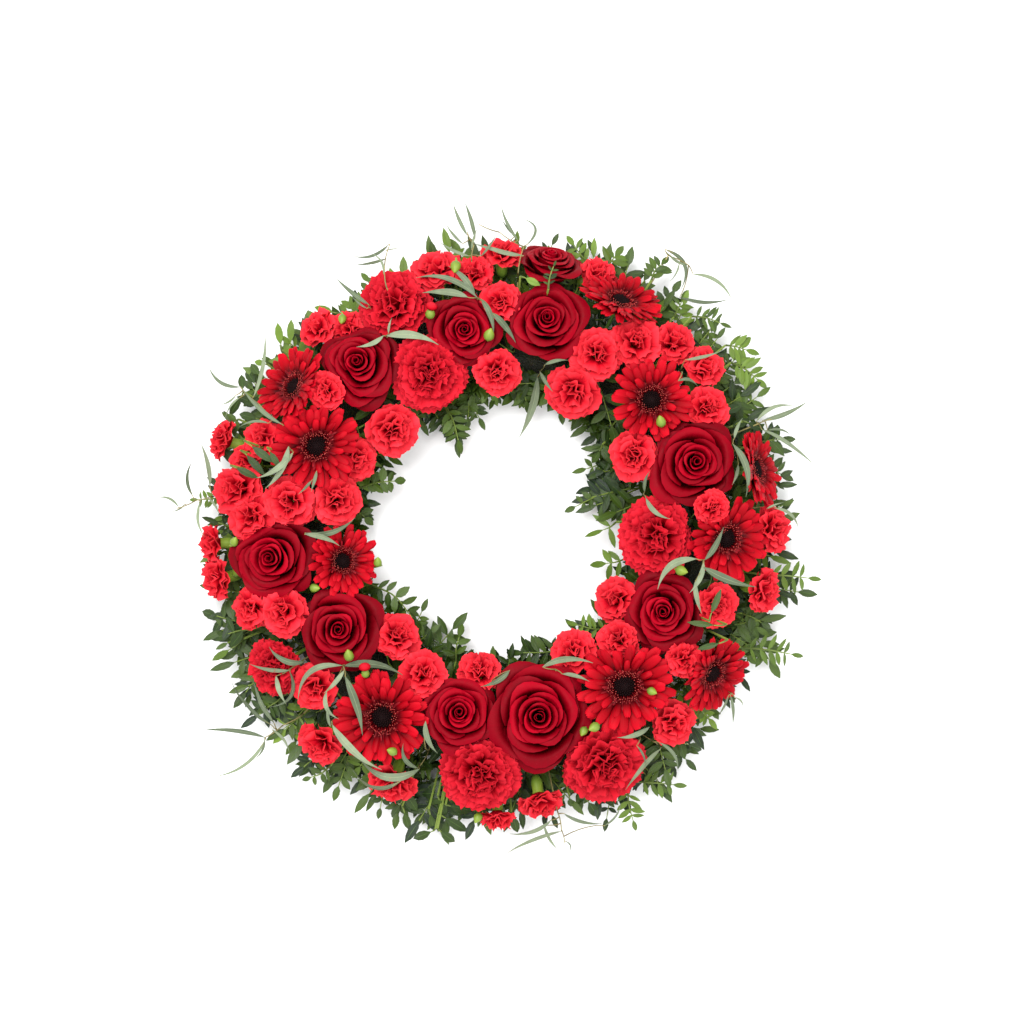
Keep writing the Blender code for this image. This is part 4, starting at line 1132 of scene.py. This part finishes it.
def lay_shoot(number, shoot, settings, skins):
    """The leaves of one shoot, in the place of its solid."""
    clock, outwards, leaves = shoot
    rng = draws("shoot", number)
    parts = Parts()
    for k, (tip_clock, reach) in enumerate(leaves):
        level = (6 + 6 * ((k + 1) % 3)) * MM
        swing = (tip_clock - clock + 180) % 360 - 180
        tone = rng.uniform(0.1, 0.4)
        skirt_leaf(parts, tip_clock, reach * MM, level, outwards, settings, tone, rng, swing)
    parts.piece(f"pistacia_shoot_{number:02d}", skins, (f"pistacia_{number:02d}",))


def lay_skirt(skirt, settings, skins):
    """A skirt's rows of leaves, each row one piece; most of its young leaves are at the top."""
    name, outwards, table, step, rows = skirt
    rng = draws("skirt", outwards)
    least = RING_RADIUS + outwards * (RING_WIDTH / 2 + LEAST_SKIRT)
    for row, (short, level) in enumerate(rows, 1):
        parts = Parts()
        for clock in np.arange(row * step / 3, 360 + row * step / 3, step):
            clock = clock + rng.uniform(-2, 2)
            reach = reach_at(table, clock) * MM - outwards * (short + rng.uniform(-2, 10)) * MM
            reach = outwards * max(outwards * reach, outwards * least)
            young = rng.uniform() < 0.06 + 0.22 * max(0.0, math.sin(math.radians(clock)))
            tone = rng.uniform(0.5, 0.9) if young else rng.uniform(0.0, 0.38)
            swing = rng.uniform(-7, 7)
            skirt_leaf(parts, clock, reach, level * MM, outwards, settings, tone, rng, swing)
        parts.piece(f"pistacia_{name}_row_{row}", skins)


def fill_between_blooms(settings, skins):
    """Small leaves that rise from the ring between the blooms, all of them one piece."""
    rng = draws("between")
    parts = Parts()
    for k in range(LEAVES_BETWEEN):
        clock = k * 360 / LEAVES_BETWEEN + rng.uniform(-2, 2)
        angle = math.radians(SECTION_ANGLES[k % len(SECTION_ANGLES)] + rng.uniform(-12, 12))
        foot = on_section(clock, angle, dome_reach(angle) - 3 * MM)
        rise = on_section(clock + rng.uniform(-3, 3), angle, dome_reach(angle) + 9 * MM)
        swing = rng.uniform(-14, 14)
        way = angle + rng.uniform(-0.5, 0.5)
        tip = on_section(clock + swing, way, dome_reach(way) + rng.uniform(12, 20) * MM)
        size, tone = settings.leaflet_length * 0.9, rng.uniform(0.05, 0.3)
        add_pinnate(parts, (foot, rise, tip), 2, size, settings.leaflet_width, tone, rng, bare=0.35)
    parts.piece("pistacia_between_blooms", skins)


def heights_over(points, clearance, span=0.0):
    """For points given as (x, y): how high the wreath is there or a span away, with a clearance."""
    graph = bpy.context.evaluated_depsgraph_get()
    steps = ((0, 0), (span, 0), (-span, 0), (0, span), (0, -span)) if span else ((0, 0),)
    found = []
    for x, y in points:
        best = 0.0
        for dx, dy in steps:
            above = Vector((x + dx, y + dy, 0.3))
            hit, spot, *_ = bpy.context.scene.ray_cast(graph, above, Vector((0, 0, -1)))
            if hit:
                best = max(best, spot.z)
        found.append(best + clearance)
    return np.array(found)


def drape(start, end, bow, count, clearance, floor, ceiling, head=0.0):
    """A path laid over the blooms between two points seen from above, with a sideways bow.

    Nowhere does it fall faster than STEEPEST, also from the height that its foot is given.
    """
    start, end = np.array(start, float), np.array(end, float)
    share = np.linspace(0, 1, count)[:, None]
    across = end - start
    side = np.array((-across[1], across[0]))
    flat = start + across * share + side * bow * 4 * share * (1 - share)
    z = np.maximum(heights_over(flat, clearance, 2.5 * MM), floor)
    for _ in range(3):
        spread = np.convolve(np.pad(z, 1, mode="edge"), (0.25, 0.5, 0.25), mode="valid")
        z = np.maximum(z, spread)
    run = np.concatenate(((0,), np.cumsum(np.linalg.norm(np.diff(flat, axis=0), axis=1))))
    z = np.max(z[None, :] - STEEPEST * np.abs(run[:, None] - run[None, :]), axis=1)
    z = np.maximum(z, head - STEEPEST * run)
    z = np.minimum(z, ceiling)
    return np.column_stack((flat, z))


def line_on_blooms(foot, tip, bow, single):
    """The stalk of a sprig that lies on the blooms; a single leaflet lies level over them."""
    line = drape(foot, tip, bow, 9, 5 * MM, 16 * MM, LEAF_CEILING)
    if single:
        ahead = [foot + (tip - foot) * k for k in (0.5, 1, 2, 3)]
        over = heights_over(ahead, 4 * MM, 3 * MM).max()
        line[:, 2] = min(max(over, line[:, 2].max()), LEAF_CEILING)
    return line


def line_from_between(foot, tip, bow, single, rng):
    """The stalk of a sprig that comes out from between the blooms, almost level."""
    middle = 0.5 * (foot + tip) + bow * np.array((foot[1] - tip[1], tip[0] - foot[0]))
    run = np.linalg.norm(tip - foot)
    levels = 34 * MM + np.array((0, 0.12, -0.12)) * run + rng.uniform(-6, 6) * MM
    levels += 8 * MM if single else 0
    return np.column_stack((np.vstack((foot, middle, tip)), levels))


def lay_sprig(number, row, skins, rng):
    """A single small leaf whose stem comes out of the ring under its foot."""
    x0, y0, x1, y1, bow, pairs, length, width, tone = row
    foot, tip = np.array((x0, y0)) * MM, np.array((x1, y1)) * MM
    tip = tip - (tip - foot) / np.linalg.norm(tip - foot) * 0.8 * length * MM
    if number <= len(HIGH_SPRIGS):
        line = line_on_blooms(foot, tip, bow, pairs == 0)
    else:
        line = line_from_between(foot, tip, bow, pairs == 0, rng)
    parts = Parts()
    end, mouth = socket_path(*section_place(line[0]))
    parts.tube(smooth_path((end, mouth, line[0]), 5), 0.9 * MM, 4, STALK)
    add_pinnate(parts, line, pairs, length * MM, width * MM, tone, rng, bare=0.10)
    parts.piece(f"pistacia_sprig_{number:02d}", skins)


def ribbon(path, width, tone, rng):
    """A long narrow leaf along a path, widest before its middle, slightly turned along its length."""
    across = 5
    share = np.linspace(0, 1, len(path))
    along = unit(np.gradient(path, axis=0))
    side = unit(np.cross(along, UP))
    up = np.cross(side, along)
    roll = np.radians(rng.uniform(-35, 35) + rng.uniform(-25, 25) * share)[:, None]
    side, up = side * np.cos(roll) + up * np.sin(roll), up * np.cos(roll) - side * np.sin(roll)
    body = np.maximum(np.sin(math.pi * share ** 0.7) ** 1.1, 0.05)[:, None, None]
    a = np.linspace(-1, 1, across)[None, :, None]
    grid = path[:, None] + side[:, None] * a * width / 2 * body
    grid = grid + up[:, None] * np.abs(a) * 0.12 * width * body
    marks = marks_for(a[None, ..., 0], share[None, :, None], np.full((1, 1, 1), tone))
    return grid[None], marks


def twig_stem(parts, foot, run):
    """A twig's stem, out of the ring and on over the blooms; gives its points back."""
    flat = np.array(foot, float) * MM
    head = np.array((*flat, np.clip(heights_over([flat], 3 * MM)[0], 30 * MM, TWIG_CEILING)))
    end, mouth = socket_path(*section_place(head))
    parts.tube(smooth_path((end, mouth, head), 8), np.linspace(0.9, 0.6, 8) * MM, 6, STALK)
    stem = [head]
    for point in run:
        start, goal = stem[-1], np.array(point) * MM
        step = drape(start[:2], goal, 0.04, 7, 1.5 * MM, 26 * MM, TWIG_CEILING, start[2])
        step[0] = start
        parts.tube(step, np.linspace(0.6, 0.4, 7) * MM, 5, STALK)
        stem.extend(step[1:])
    return stem


def twig_leaf(parts, stem, row, widest, rng):
    """A narrow leaf on a short stalk from the nearest point of its twig's stem."""
    x0, y0, x1, y1, bow = row
    start, tip = np.array((x0, y0)) * MM, np.array((x1, y1)) * MM
    near = min(stem, key=lambda spot: float(np.hypot(*(spot[:2] - start))))
    stalk = drape(near[:2], start, 0.06, 6, 1.2 * MM, 24 * MM, TWIG_CEILING, near[2])
    line = drape(start, tip, bow, 13, 2.4 * MM, 25 * MM, TWIG_CEILING, stalk[-1][2])
    stalk[0], stalk[-1] = near, line[0]
    parts.tube(np.vstack((stalk, line[2])), np.linspace(0.55, 0.3, 7) * MM, 4, STALK)
    width = min(widest * rng.uniform(0.75, 1.15), 0.16 * float(np.linalg.norm(tip - start)))
    width *= 0.62 if np.hypot(*tip) > FREE_AIR else 1.0
    grids, marks = ribbon(line, width, rng.uniform(0.1, 1.0), rng)
    parts.sheets(grids, marks, 0.5 * MM, LEAF)


def lay_twig(number, twig, settings, skins):
    """One eucalyptus twig with its narrow leaves, laid over the blooms."""
    foot, run, leaves = twig
    rng = draws("eucalyptus", number)
    parts = Parts()
    stem = twig_stem(parts, foot, run)
    for row in leaves:
        twig_leaf(parts, stem, row, settings.blade_width, rng)
    stands_for = (TWIG_NODES[number],) if number in TWIG_NODES else ()
    parts.piece(f"eucalyptus_twig_{number:02d}", skins, stands_for)


def set_bud(number, place, skins):
    """An unopened bud on a stem of its own; the last ones show the red of their petals."""
    x, y = place
    green, red = range(2)
    rng = draws("bud", number)
    parts = Parts()
    spot = np.array((x, y)) * MM
    top = float(heights_over([spot], 2.0 * MM, 3 * MM)[0])
    head = np.array((*spot, max(top, 34 * MM)))
    end, mouth = socket_path(*section_place(head))
    turn = rng.uniform(0, math.tau)
    axis = unit(np.array((math.cos(turn), math.sin(turn), 0.7)))
    low = np.linspace(0, 1, 9)[:, None]
    shape = np.array((0.30, 0.76, 0.97, 1.0, 0.95, 0.84, 0.64, 0.38, 0.10))
    size = rng.uniform(0.85, 1.15)
    path = head + axis * low * 11 * MM * size
    parts.tube(path, shape * 4.1 * MM * size, 10, green, rng.uniform(0.3, 0.8))
    parts.tube(smooth_path((end, mouth, head - UP * 6 * MM, head), 10), 0.9 * MM, 6, green)
    if number > len(BUDS):
        parts.tube(path[4:] + axis * 4 * MM, np.array((3.2, 4.8, 5.3, 4.4, 1.8)) * MM, 12, red)
    parts.piece(f"bud_{number:02d}", skins)


# What a user may change


def length_property(name, description, default):
    """A length that a user may change, in metres."""
    return FloatProperty(
        name=name, description=description, default=default, min=0.0001, unit="LENGTH", precision=5,
    )


def colour_property(name, description, *levels):
    """A colour that a user may change, given by the levels of a screen."""
    return FloatVectorProperty(
        name=name, description=description, default=srgb(*levels), subtype="COLOR", min=0, max=1,
    )


class RoseSettings(bpy.types.PropertyGroup):
    """The roses' sizes and colours."""

    petals: IntProperty(name="Petals", description="Petals in each rose", default=24, min=8, max=60)
    thickness: length_property("Petal thickness", "Thickness of a rose petal", 0.0006)
    # The deep colour is painted shade low between the petals, and the rim colour is a painted highlight
    # along the rims.
    deep: colour_property("Deep colour", "Colour low between the petals", 52, 0, 3)
    body: colour_property("Petal colour", "Colour of a petal's upper part", 116, 0, 13)
    rim: colour_property("Rim colour", "Colour along a petal's rim", 142, 0, 22)


class GerberaSettings(bpy.types.PropertyGroup):
    """The gerberas' sizes and colours."""

    thickness: length_property("Ray thickness", "Thickness of a gerbera ray", 0.0006)
    deep: colour_property("Deep colour", "Colour of a ray at its foot", 66, 0, 4)
    body: colour_property("Ray colour", "Colour of a ray", 138, 0, 12)
    tip: colour_property("Tip colour", "Colour of a ray's tip", 174, 8, 26)
    anther: colour_property("Anther colour", "Colour of the pale ring round the disc", 190, 84, 76)


class CarnationSettings(bpy.types.PropertyGroup):
    """The carnations' sizes and colours, large and small."""

    thickness: length_property("Petal thickness", "Thickness of a carnation petal", 0.0005)
    frill: length_property("Frill", "Depth of the ruffles of a large carnation", 0.0034)
    small_frill: length_property("Small frill", "Depth of the ruffles of a small carnation", 0.0029)
    # The deep colour is painted shade low between the large petals, and the rim colour is a painted
    # highlight along their toothed rims.
    deep: colour_property("Deep colour", "Colour low between the large petals", 104, 0, 6)
    body: colour_property("Petal colour", "Colour of a large carnation's petal", 162, 2, 20)
    rim: colour_property("Rim colour", "Colour along a large petal's toothed rim", 192, 31, 45)
    # The small deep colour is painted shade low between the small petals, and the small rim colour is a
    # painted highlight along their rims.
    small_deep: colour_property("Small deep colour", "Colour low between small petals", 122, 0, 12)
    small_body: colour_property("Small petal colour", "Colour of a small petal", 194, 12, 34)
    small_rim: colour_property("Small rim colour", "Colour along a small petal's rim", 222, 50, 60)


class LeafSettings(bpy.types.PropertyGroup):
    """The sizes and colours of the pistacia, the eucalyptus, the stems and the buds."""

    leaflet_length: length_property("Leaflet length", "Length of a pistacia leaflet", 0.026)
    leaflet_width: length_property("Leaflet width", "Width of a pistacia leaflet", 0.0092)
    blade_width: length_property("Blade width", "Width of a eucalyptus leaf", 0.0068)
    pistacia_dark: colour_property("Pistacia, dark", "Old pistacia leaves", 12, 34, 8)
    pistacia_light: colour_property("Pistacia, light", "Young pistacia leaves", 108, 136, 42)
    eucalyptus_dark: colour_property("Eucalyptus, dark", "Shaded eucalyptus leaves", 70, 82, 60)
    eucalyptus_light: colour_property("Eucalyptus, light", "Pale eucalyptus leaves", 128, 140, 112)
    bud: colour_property("Bud", "Unopened buds and cups", 126, 146, 44)


class StageSettings(bpy.types.PropertyGroup):
    """The floor, the lights and the camera."""

    camera_height: length_property("Camera height", "Camera above the floor", 2.526)
    lens: FloatProperty(
        name="Lens", description="Focal length of the camera in mm", default=100.0, min=20, max=300,
    )
    floor_colour: colour_property("Floor", "Colour of the floor", 250, 250, 250)


SETTINGS = (
    ("wreath_roses", RoseSettings), ("wreath_gerberas", GerberaSettings),
    ("wreath_carnations", CarnationSettings), ("wreath_leaves", LeafSettings),
    ("wreath_stage", StageSettings),
)


# Floor, lights and camera


def add_floor(colour):
    """The floor, a hair below the wreath's underside."""
    bpy.ops.mesh.primitive_plane_add(size=14, location=(0, 0, -0.0005))
    floor = bpy.context.active_object
    floor.name = "studio_floor"
    floor.data.materials.append(floor_material(colour))


def add_lamp(name, place, size, power):
    """A soft square lamp that faces the wreath's middle."""
    lamp = bpy.data.lights.new(name, "AREA")
    lamp.size = size
    lamp.energy = power
    thing = bpy.data.objects.new(name, lamp)
    thing.location = place
    thing.rotation_mode = "QUATERNION"
    thing.rotation_quaternion = (-Vector(place)).to_track_quat("-Z", "Y")
    bpy.context.scene.collection.objects.link(thing)


def add_sky(strength):
    """Even white light from all sides."""
    world = bpy.data.worlds.new("studio_light")
    world.use_nodes = True
    sky = world.node_tree.nodes["Background"]
    sky.inputs["Color"].default_value = (1, 1, 1, 1)
    sky.inputs["Strength"].default_value = strength
    bpy.context.scene.world = world


def add_camera(place, lens):
    """The camera, which looks straight down."""
    camera = bpy.data.cameras.new("camera")
    camera.lens = lens
    camera.clip_end = 30
    seen = bpy.data.objects.new("camera", camera)
    seen.location = place
    bpy.context.scene.collection.objects.link(seen)
    bpy.context.scene.camera = seen


# Operators


class WREATH_OT_ring(bpy.types.Operator):
    """Give the ring its mossy padding"""

    bl_idname = "wreath.ring"
    bl_label = "Ring"

    def execute(self, context):
        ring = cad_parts["wreath_ring"]
        ring.data.materials.clear()
        ring.data.materials.append(moss_material())
        return {"FINISHED"}


class WREATH_OT_roses(bpy.types.Operator):
    """Grow the ten roses"""

    bl_idname = "wreath.roses"
    bl_label = "Roses"

    def execute(self, context):
        own = context.scene.wreath_roses
        # The ramp paints shade low between the petals (deep) and a highlight along the rims (rim).
        velvet = petal_material(
            "rose_velvet", ((0.0, own.deep), (0.35, own.deep), (0.72, own.body), (1.0, own.rim)),
            veins=22.0, vein_depth=0.0004, roughness=0.50, specular=0.05, mottle=0.48,
        )
        green = green_material("rose_green", srgb(38, 70, 28), srgb(96, 128, 50))
        for number, bloom in enumerate(PLAN["rose"], 1):
            grow_rose(bloom, number, own, (velvet, green))
        return {"FINISHED"}


class WREATH_OT_gerberas(bpy.types.Operator):
    """Grow the ten gerberas"""

    bl_idname = "wreath.gerberas"
    bl_label = "Gerberas"

    def execute(self, context):
        own = context.scene.wreath_gerberas
        ray = petal_material(
            "gerbera_ray", ((0.0, own.deep), (0.38, own.deep), (0.62, own.body), (1.0, own.tip)),
            veins=9.0, vein_depth=0.0005, roughness=0.46, specular=0.06, mottle=0.22,
        )
        short = petal_material(
            "gerbera_inner_ray",
            ((0.0, srgb(46, 0, 4)), (0.6, srgb(92, 0, 8)), (1.0, srgb(130, 2, 16))),
            veins=6.0, vein_depth=0.0003, roughness=0.5,
        )
        anther_stops = (
            (0.0, srgb(60, 0, 4)), (0.55, srgb(120, 4, 14)), (0.8, srgb(168, 40, 40)),
            (1.0, own.anther),
        )
        anther = petal_material(
            "gerbera_anther", anther_stops, veins=3.0, vein_depth=0.0002, roughness=0.6,
        )
        green = green_material("gerbera_green", srgb(52, 86, 34), srgb(88, 120, 48))
        skins = (ray, short, disc_material(), anther, green)
        for number, bloom in enumerate(PLAN["gerbera"], 1):
            grow_gerbera(bloom, number, own, skins)
        return {"FINISHED"}


class WREATH_OT_carnations(bpy.types.Operator):
    """Grow the six large carnations and the nineteen sprays of small ones"""

    bl_idname = "wreath.carnations"
    bl_label = "Carnations"

    def execute(self, context):
        own = context.scene.wreath_carnations
        # The ramps paint shade low between the petals (deep) and a highlight along the toothed rims
        # (rim).
        large, small = (
            petal_material(
                name, ((0.0, deep), (0.22, deep), (0.60, body), (1.0, rim)),
                veins=14.0, vein_depth=0.0004, roughness=0.58, specular=specular, mottle=mottle,
            )
            for name, deep, body, rim, specular, mottle in (
                ("large_carnation_skin", own.deep, own.body, own.rim, 0.05, 0.16),
                ("small_carnation_skin", own.small_deep, own.small_body, own.small_rim, 0.06, 0.18),
            )
        )
        cup = green_material("carnation_cup", srgb(96, 130, 40), context.scene.wreath_leaves.bud)
        for number, bloom in enumerate(PLAN["carnation"], 1):
            grow_carnation(bloom, number, own, (large, cup))
        for number, blooms in enumerate(PLAN["spray"], 1):
            grow_spray(blooms, number, own, (small, cup))
        return {"FINISHED"}


class WREATH_OT_pistacia(bpy.types.Operator):
    """Lay the skirts of pistacia leaves, and the single ones between and over the blooms"""

    bl_idname = "wreath.pistacia"
    bl_label = "Pistacia"

    def execute(self, context):
        own = context.scene.wreath_leaves
        leaf = leaf_material(
            "pistacia_skin", own.pistacia_dark, own.pistacia_light, rib=srgb(88, 120, 50),
            roughness=0.36, specular=0.28,
        )
        skins = (leaf, green_material("pistacia_stalk", srgb(70, 84, 34), srgb(120, 140, 60)))
        for number, shoot in enumerate(PISTACIA, 1):
            lay_shoot(number, shoot, own, skins)
        for skirt in SKIRTS:
            lay_skirt(skirt, own, skins)
        fill_between_blooms(own, skins)
        rng = draws("sprig")
        for number, row in enumerate(HIGH_SPRIGS + SPRIGS, 1):
            lay_sprig(number, row, skins, rng)
        return {"FINISHED"}


class WREATH_OT_eucalyptus(bpy.types.Operator):
    """Trail the narrow eucalyptus leaves over the blooms"""

    bl_idname = "wreath.eucalyptus"
    bl_label = "Eucalyptus"

    def execute(self, context):
        own = context.scene.wreath_leaves
        leaf = leaf_material(
            "eucalyptus_skin", own.eucalyptus_dark, own.eucalyptus_light, rib=srgb(170, 182, 140),
            roughness=0.55, specular=0.3,
        )
        skins = (leaf, green_material("eucalyptus_twig", srgb(96, 88, 48), srgb(150, 138, 84)))
        for number, twig in enumerate(EUCALYPTUS, 1):
            lay_twig(number, twig, own, skins)
        return {"FINISHED"}


class WREATH_OT_buds(bpy.types.Operator):
    """Set the unopened buds among the blooms"""

    bl_idname = "wreath.buds"
    bl_label = "Buds"

    def execute(self, context):
        bud = context.scene.wreath_leaves.bud
        green = green_material("bud_green", srgb(84, 112, 34), bud, roughness=0.45)
        skins = (green, bpy.data.materials["large_carnation_skin"])
        for number, place in enumerate(BUDS + RED_BUDS, 1):
            set_bud(number, place, skins)
        return {"FINISHED"}


class WREATH_OT_stage(bpy.types.Operator):
    """Set up the floor, the lights and the camera"""

    bl_idname = "wreath.stage"
    bl_label = "Floor, lights and camera"

    def execute(self, context):
        own = context.scene.wreath_stage
        add_floor(tuple(own.floor_colour))
        add_lamp("key_light", (-0.55, 0.75, 2.3), size=1.3, power=60.0)
        add_lamp("fill_light", (1.1, -0.8, 2.0), size=1.8, power=24.0)
        add_sky(1.15)
        context.scene.view_settings.view_transform = "Standard"
        add_camera((0.0129, 0.0189, own.camera_height), own.lens)
        return {"FINISHED"}


OPERATORS = (
    WREATH_OT_ring, WREATH_OT_roses, WREATH_OT_gerberas, WREATH_OT_carnations, WREATH_OT_pistacia,
    WREATH_OT_eucalyptus, WREATH_OT_buds, WREATH_OT_stage,
)


class WREATH_PT_panel(bpy.types.Panel):
    """The wreath's settings and steps"""

    bl_label = "Mourning wreath"
    bl_space_type = "VIEW_3D"
    bl_region_type = "UI"
    bl_category = "Wreath"

    def draw(self, context):
        layout = self.layout
        for name, group in SETTINGS:
            box = layout.box()
            for key in group.__annotations__:
                box.prop(getattr(context.scene, name), key)
        for operator in OPERATORS:
            layout.operator(operator.bl_idname)


CLASSES = tuple(group for _, group in SETTINGS) + OPERATORS + (WREATH_PT_panel,)


def register():
    for group in CLASSES:
        bpy.utils.register_class(group)
    for name, group in SETTINGS:
        setattr(bpy.types.Scene, name, PointerProperty(type=group))


def unregister():
    for name, _ in SETTINGS:
        delattr(bpy.types.Scene, name)
    for group in reversed(CLASSES):
        bpy.utils.unregister_class(group)


def main():
    register()
    for operator in OPERATORS:
        family, step = operator.bl_idname.split(".")
        getattr(getattr(bpy.ops, family), step)()
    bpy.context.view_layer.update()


if __name__ == "__main__":
    main()
